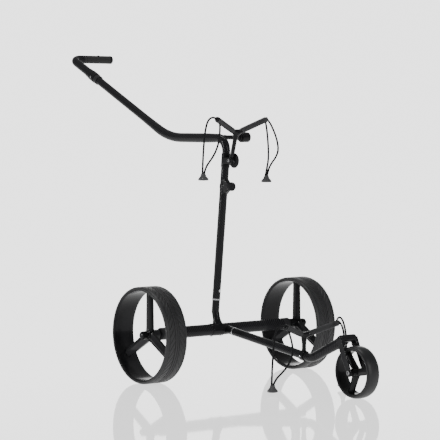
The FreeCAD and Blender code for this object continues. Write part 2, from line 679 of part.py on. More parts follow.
# ---- elastic straps -----------------------------------------------------------------------
def strand(label, points):
    """One free length of elastic cord: straight runs joined by the largest arcs they allow."""
    radii = []
    for before, corner, after in zip(points, points[1:], points[2:]):
        run = min((before - corner).Length, (after - corner).Length)
        turn = math.pi - (before - corner).getAngle(after - corner)
        radii.append(0.45 * run / math.tan(turn / 2))
    wire = bent_path(points, radii)
    print("%s length %.1f radii %s" % (label, wire.Length, " ".join("%.0f" % r for r in radii)))
    finish(swept(label, wire, cord_radius), label)


def strap_knob(label, top):
    turned(label, [(0, 0), (6.9, 0), (7.6, -1.5), (8, -5), (knob_radius - 1.6, -13), (knob_radius, -15.5, 3.0),
                   (knob_radius - 2, -knob_height, 4.0), (0, -knob_height)], facing(top, V(0, 0, 1)))


def straps():
    upper = {side: tip_of(UPPER_JOIN, UPPER_TIP, side) - V(0, AXLE.y, 0) for side in (-1, 1)}
    lower = {side: tip_of(LOWER_JOIN, LOWER_TIP, side) - V(0, AXLE.y, 0) for side in (-1, 1)}
    routes = {
        "upper_cord_right_outer": [upper[-1], (-149.5, -137, 820), (-162, -138.6, 818.5),
                                   (-172, -138.6, 811), (-178.5, -137.6, 796), (-182, -135.6, 774),
                                   (-184.5, -133.6, 745), (-186.5, -132.6, 712), (-188.5, -132.6, 680),
                                   (-189.8, -132.6, 649)],
        "upper_cord_right_inner": [(-119.5, -127.6, 801), (-119.5, -128.6, 785), (-121.5, -128.6, 762),
                                   (-126.5, -128.6, 736), (-137.5, -129.6, 714), (-151.5, -130.6, 695),
                                   (-166.5, -131.6, 680), (-178, -132.6, 665), (-183.2, -132.6, 649)],
        "upper_cord_left_outer": [(60.5, -134, 815), (70.5, -135.6, 805), (80.5, -136.6, 788),
                                  (92.5, -137.6, 764), (101.5, -137.6, 738), (103.5, -137.6, 714),
                                  (92.5, -136.6, 693), (77, -135.6, 676), (66.5, -134.6, 659),
                                  (61.3, -134.6, 639)],
        "upper_cord_left_inner": [(55.5, -131.9, 811), (58.5, -132.6, 796), (62, -133.1, 775),
                                  (65, -133.6, 745), (66.5, -134.6, 714), (65.5, -134.6, 684),
                                  (59.5, -134.6, 660), (54.7, -134.6, 639)],
        "lower_cord_right_outer": [lower[-1], (-118, -432.5, 203.5), (-130.5, -433.5, 202),
                                   (-140.5, -433.5, 194.5), (-146, -432, 179), (-149.5, -430, 150),
                                   (-152.5, -430, 116), (-155, -430, 84), (-156.5, -430, 55),
                                   (-157.3, -430, 30)],
        "lower_cord_right_inner": [(-88, -423, 187), (-81, -423, 170), (-74, -424, 145),
                                   (-72, -425, 119), (-82, -426, 96), (-99, -427, 76), (-120, -428, 60),
                                   (-141, -429, 46), (-150.7, -430, 30)],
        "lower_cord_left_outer": [(98, -426.5, 205), (96, -434.5, 214), (92.5, -447.5, 218),
                                  (89, -461.5, 213), (87.5, -472, 200), (89.5, -476.5, 181),
                                  (92.5, -477.5, 156), (94.5, -475.5, 130), (95, -472.5, 103),
                                  (95.5, -467.5, 76), (95.5, -464, 51), (96.8, -462.3, 30)],
        "lower_cord_left_inner": [(107, -430, 200), (105, -441, 193), (104, -449, 180),
                                  (104, -453.5, 162), (104, -456, 137), (102.5, -456.5, 110),
                                  (99, -457, 83.5), (95.5, -457, 56), (93.2, -456.7, 30)],
    }
    for label, places in routes.items():
        strand(label, [from_axle(*place) for place in places])
    strap_knob("upper_knob_right", from_axle(-186.5, -132.6, 649))
    strap_knob("upper_knob_left", from_axle(58, -134.6, 639))
    strap_knob("lower_knob_right", from_axle(-154, -430, 30))
    strap_knob("lower_knob_left", from_axle(95, -459.5, 30))


for wheel_side, wheel_outward in (("right", -1), ("left", 1)):
    rear_wheel(wheel_side, wheel_outward)
rear_axle()
sockets()
front_frame()
front_wheel()
brackets()
mast()
handle()
pivot_and_stub()
straps()
doc.recompute()

# ---- checks and files ---------------------------------------------------------------------
for item in doc.Objects:
    if "Invalid" in item.State or "Error" in item.State:
        raise RuntimeError("%s is %s" % (item.Name, item.State))
for item in PARTS:
    if item.Shape.isNull() or not item.Shape.isValid():
        raise RuntimeError("%s has no valid shape" % item.Label)
os.makedirs("parts", exist_ok=True)
whole = FreeCAD.BoundBox()
for item in PARTS:
    item.Shape.exportStep("parts/%s.step" % item.Label)
    if "cord" not in item.Label and "_knob_" not in item.Label:
        whole.add(item.Shape.BoundBox)
    print("%-26s %d solid %9.1f mm3" % (item.Label, len(item.Shape.Solids), item.Shape.Volume))
print("%d sub-parts, box %s" % (len(PARTS), whole))
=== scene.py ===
import json
import math

import bpy
from mathutils import Matrix, Vector


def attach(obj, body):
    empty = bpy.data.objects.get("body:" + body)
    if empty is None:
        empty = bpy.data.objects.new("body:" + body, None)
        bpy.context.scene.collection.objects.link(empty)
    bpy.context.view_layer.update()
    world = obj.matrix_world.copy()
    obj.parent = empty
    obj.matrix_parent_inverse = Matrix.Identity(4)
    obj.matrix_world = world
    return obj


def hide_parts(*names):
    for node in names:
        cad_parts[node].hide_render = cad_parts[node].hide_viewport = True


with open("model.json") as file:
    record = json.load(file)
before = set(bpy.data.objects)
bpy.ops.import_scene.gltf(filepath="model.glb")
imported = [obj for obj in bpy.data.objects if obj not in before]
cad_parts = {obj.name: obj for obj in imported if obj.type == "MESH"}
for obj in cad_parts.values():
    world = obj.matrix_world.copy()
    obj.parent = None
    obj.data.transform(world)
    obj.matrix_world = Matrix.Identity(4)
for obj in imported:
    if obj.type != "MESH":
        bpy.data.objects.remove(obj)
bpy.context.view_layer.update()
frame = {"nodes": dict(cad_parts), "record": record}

# Looks of the golf trolley. Row frame, metres: +Z up, +Y to the handle, +X to the trolley's left.

MM = 0.001
AXLE_Y = -74.07                     # rear axle, mm from the row's origin
AXLE_Z = 150.0
ROOM_LIGHT = 0.3
BACK_LIGHT = 2.7
BACK_WAY = (0.6, 0.8, 0.0)          # level direction that is bright behind the trolley
BACK_EDGE = (0.86, 0.97)            # cosine of the angle from it where the glow starts and is full
FLOOR_LIGHT = 1.3


def place(x, back, height):
    """A point in metres from millimetres: X, distance behind the rear axle, height."""
    return Vector((x, back + AXLE_Y, height)) * MM


def add_object(name, data):
    obj = bpy.data.objects.new(name, data)
    bpy.context.scene.collection.objects.link(obj)
    return obj


def loose_mesh(name, verts, faces):
    """Mesh object with no material and no body yet."""
    mesh = bpy.data.meshes.new(name)
    mesh.from_pydata([tuple(v) for v in verts], [], faces)
    return add_object(name, mesh)


# ---- camera, light, floor --------------------------------

def aim(obj, target):
    direction = Vector(target) - obj.location
    obj.rotation_euler = direction.to_track_quat("-Z", "Y").to_euler()


def camera():
    data = bpy.data.cameras.new("camera")
    data.lens = 154.8
    data.sensor_width = 36
    data.clip_end = 100
    cam = add_object("camera", data)
    cam.location = place(-3639.8, -4756.3, 807.4)
    aim(cam, place(-46.4, -32.4, 498.4))
    bpy.context.scene.camera = cam


def softbox(name, location, target, width, height, power):
    data = bpy.data.lights.new(name, "AREA")
    data.shape = "RECTANGLE"
    data.size = width
    data.size_y = height
    data.energy = power
    lamp = add_object(name, data)
    lamp.location = location
    lamp.visible_camera = False
    aim(lamp, target)


def studio():
    """Grey room that is bright in the far direction, and narrow soft boxes over the trolley and beside it."""
    world = bpy.data.worlds.new("studio")
    bpy.context.scene.world = world
    world.use_nodes = True
    nodes = world.node_tree.nodes
    links = world.node_tree.links
    background = nodes["Background"]
    background.inputs["Color"].default_value = (1, 1, 1, 1)
    direction = nodes.new("ShaderNodeTexCoord")
    nearness = nodes.new("ShaderNodeVectorMath")
    nearness.operation = "DOT_PRODUCT"
    nearness.inputs[1].default_value = BACK_WAY
    glow = nodes.new("ShaderNodeMapRange")
    glow.interpolation_type = "SMOOTHSTEP"
    for key, value in (("From Min", BACK_EDGE[0]), ("From Max", BACK_EDGE[1]), ("To Min", ROOM_LIGHT),
                       ("To Max", BACK_LIGHT)):
        glow.inputs[key].default_value = value
    links.new(direction.outputs["Generated"], nearness.inputs[0])
    links.new(nearness.outputs["Value"], glow.inputs["Value"])
    links.new(glow.outputs["Result"], background.inputs["Strength"])
    middle = (0, 0, 0.4)
    softbox("overhead", (0.3, 0.3, 3.4), middle, 2.0, 0.3, 45)
    softbox("side", (-3.4, 0.9, 1.3), middle, 0.12, 2.6, 90)
    softbox("front", (0.5, -3.8, 1.4), middle, 0.12, 2.6, 70)


def floor():
    reach = 40
    corners = [(-reach, -reach, 0), (reach, -reach, 0), (reach, reach, 0), (-reach, reach, 0)]
    ground = loose_mesh("floor", corners, [(0, 1, 2, 3)])
    ground.data.materials.append(MATERIALS["floor"])
    # The soft boxes light the trolley alone, so the gloss floor doesn't mirror them.
    unlit = bpy.data.collections.new("unlit")
    unlit.objects.link(ground)
    unlit.collection_objects[0].light_linking.link_state = "EXCLUDE"
    for lamp in [obj for obj in bpy.context.scene.objects if obj.type == "LIGHT"]:
        lamp.light_linking.receiver_collection = unlit


# ---- materials -------------------------------------------

class Nodes:
    """A material being wired: add nodes by type, with values or links for their inputs."""

    def __init__(self, name):
        self.material = bpy.data.materials.new(name)
        self.material.use_nodes = True
        self.tree = self.material.node_tree
        self.shader = self.tree.nodes["Principled BSDF"]

    def add(self, kind, settings=None, **inputs):
        node = self.tree.nodes.new(kind)
        for key, value in (settings or {}).items():
            setattr(node, key, value)
        for key, value in inputs.items():
            numbered = key[0] == "_" and key[1:].isdigit()
            self.set(node, int(key[1:]) if numbered else key.replace("_", " "), value)
        return node

    def set(self, node, key, value):
        if isinstance(value, bpy.types.NodeSocket):
            self.tree.links.new(value, node.inputs[key])
        else:
            node.inputs[key].default_value = value

    def split(self, coordinates):
        """The three outputs of a texture coordinate."""
        source = self.add("ShaderNodeTexCoord").outputs[coordinates]
        return self.add("ShaderNodeSeparateXYZ", Vector=source).outputs

    def math(self, operation, first, second=0.0):
        return self.add("ShaderNodeMath", {"operation": operation}, _0=first, _1=second).outputs[0]

    def noise(self, scale, detail=4.0, stretch=(1, 1, 1), coordinates="Object"):
        """Noise at so many waves per metre."""
        source = self.add("ShaderNodeTexCoord").outputs[coordinates]
        mapping = self.add("ShaderNodeMapping", Vector=source, Scale=stretch)
        texture = self.add("ShaderNodeTexNoise", Vector=mapping.outputs[0], Scale=scale, Detail=detail)
        return texture.outputs[0]

    def ramp(self, factor, stops):
        node = self.add("ShaderNodeValToRGB", Fac=factor)
        for number, (position, colour) in enumerate(stops):
            if number < 2:
                stop = node.color_ramp.elements[number]
            else:
                stop = node.color_ramp.elements.new(position)
            stop.position = position
            stop.color = (*colour, 1)
        return node.outputs[0]

    def bump(self, height, distance, strength=1.0):
        node = self.add("ShaderNodeBump", Height=height, Distance=distance, Strength=strength)
        self.set(self.shader, "Normal", node.outputs[0])

    def shade(self, **inputs):
        for key, value in inputs.items():
            self.set(self.shader, key.replace("_", " "), value)
        return self.material


def carbon():
    """Twill-woven carbon under a clear coat. The mesh's UV is in metres."""
    n = Nodes("carbon")
    uv = n.split("UV")
    tow = 0.0022
    along = n.math("DIVIDE", uv[0], tow)
    around = n.math("DIVIDE", uv[1], tow)
    step = n.math("ADD", n.math("FLOOR", along), n.math("FLOOR", around))
    over = n.math("LESS_THAN", n.math("MODULO", n.math("ADD", step, 4000.0), 4.0), 2.0)
    across_warp = n.math("ABSOLUTE", n.math("SUBTRACT", n.math("FRACT", around), 0.5))
    across_weft = n.math("ABSOLUTE", n.math("SUBTRACT", n.math("FRACT", along), 0.5))
    crown = n.add("ShaderNodeMix", Factor=over, A=across_weft, B=across_warp).outputs[0]
    height = n.math("SUBTRACT", 0.5, crown)
    fibre = n.noise(900, 3, (1, 6, 1), "UV")
    tone = n.math("ADD", n.math("MULTIPLY", over, 0.45), n.math("MULTIPLY", fibre, 0.5))
    colour = n.ramp(tone, [(0.1, (0.004, 0.004, 0.0045)), (0.9, (0.022, 0.022, 0.024))])
    rough = n.math("ADD", 0.26, n.math("MULTIPLY", over, 0.1))
    n.bump(height, 0.00005, 0.4)
    return n.shade(Base_Color=colour, Roughness=rough, Specular_IOR_Level=0.04, Coat_Weight=0.3,
                   Coat_Roughness=0.03, Coat_IOR=1.25)


def gloss(name, dark, light, roughness, coat, grain=260):
    """Glossy moulded plastic or paint with a fine skin, handling marks and a little tone change."""
    n = Nodes(name)
    cloud = n.noise(9, 5)
    skin = n.noise(grain, 3)
    marks = n.noise(60, 6, (1, 9, 1))
    colour = n.ramp(cloud, [(0.3, dark), (0.75, light)])
    worn = n.math("MULTIPLY", n.math("SUBTRACT", marks, 0.45), 0.35)
    n.bump(skin, 0.00004, 0.3)
    return n.shade(Base_Color=colour, Roughness=n.math("ADD", roughness, worn), Specular_IOR_Level=0.05,
                   Coat_Weight=coat, Coat_Roughness=0.05, Coat_IOR=1.25)


def rubber(name, dark, light, roughness, grain=900, depth=0.0001):
    n = Nodes(name)
    dust = n.noise(14, 6)
    grit = n.noise(grain, 4)
    colour = n.ramp(n.math("ADD", n.math("MULTIPLY", dust, 0.6), n.math("MULTIPLY", grit, 0.4)),
                    [(0.35, dark), (0.7, light)])
    n.bump(grit, depth, 0.6)
    return n.shade(Base_Color=colour, Roughness=n.math("ADD", roughness, n.math("MULTIPLY", dust, 0.2)),
                   Specular_IOR_Level=0.2)


def tread():
    """Rear tyre rubber with long slanted lugs cut in. UV: metres around and across the tread."""
    n = Nodes("tread")
    uv = n.split("UV")
    away = n.math("ABSOLUTE", uv[1])
    slant = n.math("ADD", n.math("DIVIDE", uv[0], 0.0214), n.math("MULTIPLY", away, 78.0))
    wave = n.math("ABSOLUTE", n.math("SUBTRACT", n.math("FRACT", slant), 0.5))
    cut = n.math("SMOOTH_MIN", n.math("MULTIPLY", wave, 5.0), 1.0)
    zone = n.math("MULTIPLY", n.math("GREATER_THAN", away, 0.0085), n.math("LESS_THAN", away, 0.0265))
    lug = n.add("ShaderNodeMix", Factor=zone, A=1.0, B=cut).outputs[0]
    grit = n.noise(700, 4)
    height = n.math("ADD", lug, n.math("MULTIPLY", grit, 0.06))
    # Colour: the cut grooves are darkened as painted shade, with random tone laid over it.
    shade = n.math("ADD", n.math("MULTIPLY", lug, 0.65), n.math("MULTIPLY", n.noise(12, 5), 0.4))
    colour = n.ramp(shade, [(0.2, (0.004, 0.004, 0.0045)), (0.95, (0.017, 0.017, 0.018))])
    n.bump(height, 0.0016, 1.0)
    return n.shade(Base_Color=colour, Roughness=n.math("ADD", 0.38, n.math("MULTIPLY", grit, 0.2)),
                   Specular_IOR_Level=0.3)


def metal(name, colour, roughness):
    n = Nodes(name)
    lines = n.noise(300, 3, (1, 1, 30))
    tone = n.ramp(lines, [(0.2, tuple(c * 0.8 for c in colour)), (0.8, colour)])
    n.bump(lines, 0.00002, 0.4)
    brushed = n.math("ADD", roughness, n.math("MULTIPLY", lines, 0.12))
    return n.shade(Base_Color=tone, Metallic=1.0, Roughness=brushed)


def braid():
    """Braided sleeve of an elastic cord, from its position along and around the cord."""
    n = Nodes("braid")
    uv = n.split("UV")
    along = n.math("MULTIPLY", uv[0], 90.0)
    around = n.math("MULTIPLY", uv[1], 8.0)
    left = n.math("SINE", n.math("MULTIPLY", n.math("ADD", along, around), math.tau))
    right = n.math("SINE", n.math("MULTIPLY", n.math("SUBTRACT", along, around), math.tau))
    weave = n.math("MAXIMUM", left, right)
    # Colour follows the weave's height, so the hollows between the strands get painted shade.
    colour = n.ramp(weave, [(0.2, (0.004, 0.004, 0.0045)), (1.0, (0.018, 0.018, 0.019))])
    n.bump(weave, 0.0003, 0.7)
    return n.shade(Base_Color=colour, Roughness=0.7, Specular_IOR_Level=0.08)


def white_floor():
    """White gloss floor with a glow of its own, which fades out in front of the trolley and far behind it."""
    n = Nodes("floor")
    cloud = n.noise(1.5, 3)
    colour = n.ramp(cloud, [(0.0, (0.86, 0.86, 0.86)), (1.0, (0.9, 0.9, 0.9))])
    spot = n.split("Object")
    depth = n.math("ADD", n.math("MULTIPLY", spot[0], BACK_WAY[0]),
                   n.math("MULTIPLY", spot[1], BACK_WAY[1]))
    near = n.add("ShaderNodeMapRange", {"interpolation_type": "SMOOTHSTEP"}, _0=depth, _1=-3.0, _2=-1.3,
                 _3=0.03, _4=1.0).outputs[0]
    far = n.math("DIVIDE", 9.0, n.math("ADD", 9.0, n.math("MAXIMUM", depth, 0.0)))
    return n.shade(Base_Color=colour, Roughness=0.04, Specular_IOR_Level=0.5, Emission_Color=(1, 1, 1, 1),
                   Emission_Strength=n.math("MULTIPLY", n.math("MULTIPLY", near, far), FLOOR_LIGHT))


MATERIALS = {
    "carbon": carbon(),
    "gloss_black": gloss("gloss_black", (0.006, 0.006, 0.007), (0.014, 0.014, 0.015), 0.2, 0.4),
    "wheel_black": gloss("wheel_black", (0.008, 0.008, 0.009), (0.02, 0.02, 0.021), 0.2, 0.4),
    "smooth_rubber": rubber("smooth_rubber", (0.01, 0.01, 0.011), (0.022, 0.022, 0.023), 0.28, 500, 0.00003),
    "grip_rubber": rubber("grip_rubber", (0.01, 0.01, 0.01), (0.025, 0.025, 0.026), 0.5),
    "pad_rubber": rubber("pad_rubber", (0.018, 0.018, 0.019), (0.04, 0.04, 0.042), 0.5),
    "knob_black": gloss("knob_black", (0.008, 0.008, 0.009), (0.018, 0.018, 0.019), 0.35, 0.1, 600),
    "strap_knob": gloss("strap_knob", (0.04, 0.04, 0.042), (0.08, 0.08, 0.082), 0.3, 0.3, 600),
    "bolt_metal": metal("bolt_metal", (0.18, 0.18, 0.185), 0.35),
    "anodised": gloss("anodised", (0.015, 0.015, 0.016), (0.03, 0.03, 0.032), 0.28, 0.2, 800),
    "button_white": gloss("button_white", (0.7, 0.71, 0.72), (0.82, 0.82, 0.83), 0.25, 0.4),
    "bright_metal": metal("bright_metal", (0.78, 0.79, 0.8), 0.18),
    "bright_ring": metal("bright_ring", (0.82, 0.83, 0.85), 0.12),
    "bearing_metal": metal("bearing_metal", (0.5, 0.5, 0.52), 0.3),
    "tread_rubber": tread(),
    "cord_black": braid(),
    "floor": white_floor(),
}


# ---- every CAD node starts with the material of its slot -

def dress_frame():
    slot_of = {entry["node"]: entry["material_slot"] for entry in frame["record"]["subparts"]}
    for name, obj in frame["nodes"].items():
        obj.data.materials.clear()
        obj.data.materials.append(MATERIALS[slot_of[name]])
        smooth_shading(obj.data, 32)


# ---- mesh helpers ----------------------------------------

def facing(point, direction, up=(0, 0, 1)):
    """Matrix that puts the local +Z along direction and the local +Y as near up as it goes."""
    z_axis = Vector(direction).normalized()
    up = Vector(up)
    if abs(z_axis.dot(up)) > 0.999:
        up = Vector((0, 1, 0))
    x_axis = up.cross(z_axis).normalized()
    y_axis = z_axis.cross(x_axis)
    turn = Matrix((x_axis, y_axis, z_axis)).transposed().to_4x4()
    return Matrix.Translation(point) @ turn


def smooth_shading(mesh, sharp):
    """Smooth faces, with edges kept sharp from that many degrees."""
    for face in mesh.polygons:
        face.use_smooth = True
    mesh.set_sharp_from_angle(angle=math.radians(sharp))


def finished(obj, material, body, sharp, nodes):
    """The piece with its material. It rides on body and stands for the CAD nodes."""
    smooth_shading(obj.data, sharp)
    obj.data.materials.clear()
    obj.data.materials.append(MATERIALS[material])
    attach(obj, body)
    if nodes:
        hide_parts(*nodes)
    return obj


def add_mesh(name, verts, faces, material, body, uvs=None, sharp=35, nodes=()):
    """New piece from its points in the row frame."""
    obj = loose_mesh(name, verts, faces)
    if uvs is not None:
        layer = obj.data.uv_layers.new(name="UVMap")
        for face in obj.data.polygons:
            for corner, uv in zip(face.loop_indices, uvs[face.index]):
                layer.data[corner].uv = uv
    return finished(obj, material, body, sharp, nodes)


def grid_faces(rows, columns, wrap_rows=False):
    """Quads of a grid of points whose columns close into a ring."""
    faces = []
    last = rows if wrap_rows else rows - 1
    for row in range(last):
        after = (row + 1) % rows
        for column in range(columns):
            beside = (column + 1) % columns
            faces.append((row * columns + column, row * columns + beside,
                          after * columns + beside, after * columns + column))
    return faces


def end_faces(count, total):
    """The two faces that close a run of rings of count points."""
    return [tuple(range(count))[::-1], tuple(range(total - count, total))]


def angles(count):
    return [math.tau * column / count for column in range(count)]


def rounded(outline, radius, steps=4, closed=False):
    """The outline with its corners rounded, as far as the neighbouring edges allow."""
    points = [Vector(p) for p in outline]
    result = []
    for number, corner in enumerate(points):
        if not closed and number in (0, len(points) - 1):
            result.append(corner)
            continue
        before = points[number - 1] - corner
        after = points[(number + 1) % len(points)] - corner
        if before.length < 1e-6 or after.length < 1e-6:
            continue
        angle = before.angle(after)
        reach = radius / math.tan(angle / 2) if angle < math.pi - 0.05 else 0.0
        reach = min(reach, before.length * 0.45, after.length * 0.45)
        if reach < 1e-4:
            result.append(corner)
            continue
        start = corner + before.normalized() * reach
        end = corner + after.normalized() * reach
        for step in range(steps + 1):
            share = step / steps
            first = start.lerp(corner, share)
            second = corner.lerp(end, share)
            result.append(first.lerp(second, share))
    return result


def lathe(name, outline, matrix, material, body, nodes=(), segments=96, soften=0.5, closed=True,
          flute=None, sharp=35):
    """Round piece: an outline of (radius, height) in mm turned about the matrix's own Z.
    flute = (count, depth, low, high) scallops the rim between two heights."""
    points = rounded(outline, soften, closed=closed) if soften else [Vector(p) for p in outline]
    rows = len(points)
    verts = []
    uvs_at = []
    length = 0.0
    for row, point in enumerate(points):
        if row:
            length += (point - points[row - 1]).length
        for angle in angles(segments):
            radius = point.x
            if flute and flute[2] <= point.y <= flute[3]:
                radius -= flute[1] * (0.5 - 0.5 * math.cos(angle * flute[0])) ** 2
            spot = Vector((radius * math.cos(angle), radius * math.sin(angle), point.y))
            verts.append(matrix @ (spot * MM))
            uvs_at.append((angle, length * MM))
    faces = grid_faces(rows, segments, closed)
    widest = max(point.x for point in points) * MM
    uvs = []
    for face in faces:
        corners = [uvs_at[v] for v in face]
        base = corners[0][0]
        uvs.append([((a + math.tau if a < base - 0.1 else a) * widest, b) for a, b in corners])
    return add_mesh(name, verts, faces, material, body, uvs, sharp, nodes)


def bent_path(points, radii, step=3.0):
    """Places along straight runs joined by tangent arcs, in metres, from corners in metres."""
    places = [points[0]]
    start = points[0]
    for corner, after, radius in zip(points[1:-1], points[2:], radii):
        back = (start - corner).normalized()
        ahead = (after - corner).normalized()
        half = back.angle(ahead) / 2
        reach = radius * MM / math.tan(half)
        middle = (back + ahead).normalized()
        centre = corner + middle * (radius * MM / math.sin(half))
        first = corner + back * reach
        last = corner + ahead * reach
        places += straight(start, first, step)
        sweep = math.pi - 2 * half
        count = max(4, int(sweep / math.radians(4)))
        axis = (first - centre).cross(last - centre).normalized()
        for number in range(1, count + 1):
            turn = Matrix.Rotation(sweep * number / count, 3, axis)
            places.append(centre + turn @ (first - centre))
        start = last
    return places + straight(start, points[-1], step)


def straight(start, end, step):
    count = max(1, int((end - start).length / (step * MM)))
    return [start.lerp(end, number / count) for number in range(1, count + 1)]


def along(places):
    """Share of the path's length at each place."""
    total = [0.0]
    for before, after in zip(places, places[1:]):
        total.append(total[-1] + (after - before).length)
    return total


def stations_at(stations, share):
    """Value between the nearest stations, eased."""
    for (low, first), (high, second) in zip(stations, stations[1:]):
        if share <= high:
            part = (share - low) / (high - low)
            part = part * part * (3 - 2 * part)
            return first + (second - first) * part
    return stations[-1][1]


def tube(name, places, stations, material, body, nodes=(), segments=48):
    """Round bar along a path. stations give the radius in mm at shares of its length. UV in metres."""
    travelled = along(places)
    total = travelled[-1]
    side = None
    verts = []
    uvs_at = []
    for number, centre in enumerate(places):
        before = places[max(number - 1, 0)]
        after = places[min(number + 1, len(places) - 1)]
        way = (after - before).normalized()
        if side is None:
            side = way.orthogonal().normalized()
        side = (side - way * side.dot(way)).normalized()
        other = way.cross(side)
        radius = stations_at(stations, travelled[number] / total) * MM
        for angle in angles(segments):
            verts.append(centre + (side * math.cos(angle) + other * math.sin(angle)) * radius)
            uvs_at.append((travelled[number], angle * stations[0][1] * MM))
    faces = grid_faces(len(places), segments)
    uvs = []
    turn = math.tau * stations[0][1] * MM
    for face in faces:
        corners = [uvs_at[v] for v in face]
        base = corners[0][1]
        uvs.append([(a, b + turn if b < base - turn / 2 else b) for a, b in corners])
    for ring in end_faces(segments, len(verts)):
        faces.append(ring)
        uvs.append([uvs_at[v] for v in ring])
    return add_mesh(name, verts, faces, material, body, uvs, 50, nodes)


def block(name, sizes, matrix, bevel=1.0, taper=1.0):
    """Box of sizes in mm with rounded edges, as a loose mesh object for melting or joining."""
    x, y, z = (size * MM / 2 for size in sizes)
    verts = []
    for sz, k in ((-z, 1.0), (z, taper)):
        for sx, sy in ((-x, -y), (x, -y), (x, y), (-x, y)):
            verts.append(matrix @ Vector((sx * k, sy * k, sz)))
    faces = [(3, 2, 1, 0), (4, 5, 6, 7), (0, 1, 5, 4), (1, 2, 6, 5), (2, 3, 7, 6), (3, 0, 4, 7)]
    obj = loose_mesh(name, verts, faces)
    if bevel:
        edge = obj.modifiers.new("edge", "BEVEL")
        edge.width = bevel * MM
        edge.segments = 3
    return obj


def loose_rod(name, start, end, radius, end_radius=None, segments=32, ball=False):
    """Rod or cone between two places in metres, as a loose mesh object for melting."""
    end_radius = radius if end_radius is None else end_radius
    matrix = facing(start, end - start)
    length = (end - start).length
    rows = [(radius * MM, 0.0), (end_radius * MM, length)]
    if ball:
        rows = [(radius * MM * math.sin(a), -radius * MM * math.cos(a)) for a in
                [math.pi / 16 * k for k in range(1, 8)]] + rows
        rows += [(end_radius * MM * math.cos(a), length + end_radius * MM * math.sin(a)) for a in
                 [math.pi / 16 * k for k in range(1, 8)]]
    verts = []
    for r, height in rows:
        for angle in angles(segments):
            verts.append(matrix @ Vector((r * math.cos(angle), r * math.sin(angle), height)))
    faces = grid_faces(len(rows), segments)
    faces += end_faces(segments, len(verts))
    return loose_mesh(name, verts, faces)


def applied(obj):
    """The object's mesh with its modifiers applied, and the object removed."""
    bpy.context.view_layer.update()
    depsgraph = bpy.context.evaluated_depsgraph_get()
    mesh = bpy.data.meshes.new_from_object(obj.evaluated_get(depsgraph))
    bpy.data.objects.remove(obj)
    return mesh


def gathered(loose):
    """Points and faces of the loose pieces, put together."""
    verts = []
    faces = []
    for obj in loose:
        mesh = applied(obj)
        offset = len(verts)
        verts += [tuple(v.co) for v in mesh.vertices]
        faces += [tuple(offset + v for v in face.vertices) for face in mesh.polygons]
    return verts, faces


def melt(name, loose, material, body, nodes=(), voxel=0.8, smooth=6, holes=()):
    """Loose pieces fused into one moulding with soft inner corners, then drilled."""
    whole = loose_mesh(name, *gathered(loose))
    remesh = whole.modifiers.new("fuse", "REMESH")
    remesh.mode = "VOXEL"
    remesh.voxel_size = voxel * MM
    soft = whole.modifiers.new("soft", "SMOOTH")
    soft.iterations = smooth
    soft.factor = 0.5
    for number, hole in enumerate(holes):
        drill = whole.modifiers.new("drill%d" % number, "BOOLEAN")
        drill.operation = "DIFFERENCE"
        drill.solver = "EXACT"
        drill.object = hole
    mesh = applied(whole)
    for hole in holes:
        bpy.data.objects.remove(hole)
    return finished(add_object(name, mesh), material, body, 40, nodes)


# ---- places shared with the frame ------------------------

AXLE = place(0, 0, AXLE_Z)
MAST_X = -30.0
MAST_FOOT = place(MAST_X, -2, AXLE_Z)
MAST_BEND = place(MAST_X, 13.5, 206)
MAST_TILT = math.radians(6.37)
MAST_UP = Vector((0, -math.sin(MAST_TILT), math.cos(MAST_TILT)))
MAST_RING = MAST_BEND + MAST_UP * 38 * MM
MAST_START = MAST_RING + MAST_UP * 4 * MM
FRONT_FALL = math.radians(7.0)
FRONT_WAY = Vector((0, -math.cos(FRONT_FALL), -math.sin(FRONT_FALL)))
FRONT_RING = AXLE + FRONT_WAY * 44 * MM
FRONT_HUB = place(0, -631.5, 77.3)
FRONT_SPOKE_LEAN = 202.0
FORK_HALF = 32.5
RISE = math.radians(25.7)
RISE_WAY = Vector((0, -math.cos(RISE), math.sin(RISE)))
LEG_WAY = Vector((0, math.sin(RISE), math.cos(RISE)))
KNEE_TURN = AXLE + FRONT_WAY * 430.2 * MM
KNEE_START = KNEE_TURN - FRONT_WAY * 18.5 * MM
HANDLE_LEVEL = 755.5
INCLINE = math.radians(24.98)
INCLINE_WAY = Vector((0, math.cos(INCLINE), math.sin(INCLINE)))
REAR_CORNER = place(MAST_X, 263.4, HANDLE_LEVEL)
COLLAR_START = place(MAST_X, 670.0, HANDLE_LEVEL + 406.6 * math.tan(INCLINE))
GRIP_CORNER = place(MAST_X, 842.5, HANDLE_LEVEL + 579.1 * math.tan(INCLINE))
UPPER_PIVOT = place(-38, -79, 685.5)
UPPER_JOIN = place(-38, -104, 771)
UPPER_REACH = Vector((100.5, -30.6, 45)) * MM
LOWER_FOOT = AXLE + FRONT_WAY * (390 / math.cos(FRONT_FALL)) * MM
LOWER_JOIN = place(0, -390, 163)
LOWER_REACH = Vector((107, -40, 37)) * MM
CORD_RADIUS = 3.0
SIDES = (("right", -1), ("left", 1))
TUBE_RADIUS = 12.6
AXLE_RADIUS = 18.4
AXLE_HALF = 252
REAR_WHEEL_X = 296


def on_mast(height):
    """Point of the mast's axis at a height in mm over the floor."""
    return MAST_START + MAST_UP * ((height * MM - MAST_START.z) / MAST_UP.z)


# ---- wheels ----------------------------------------------

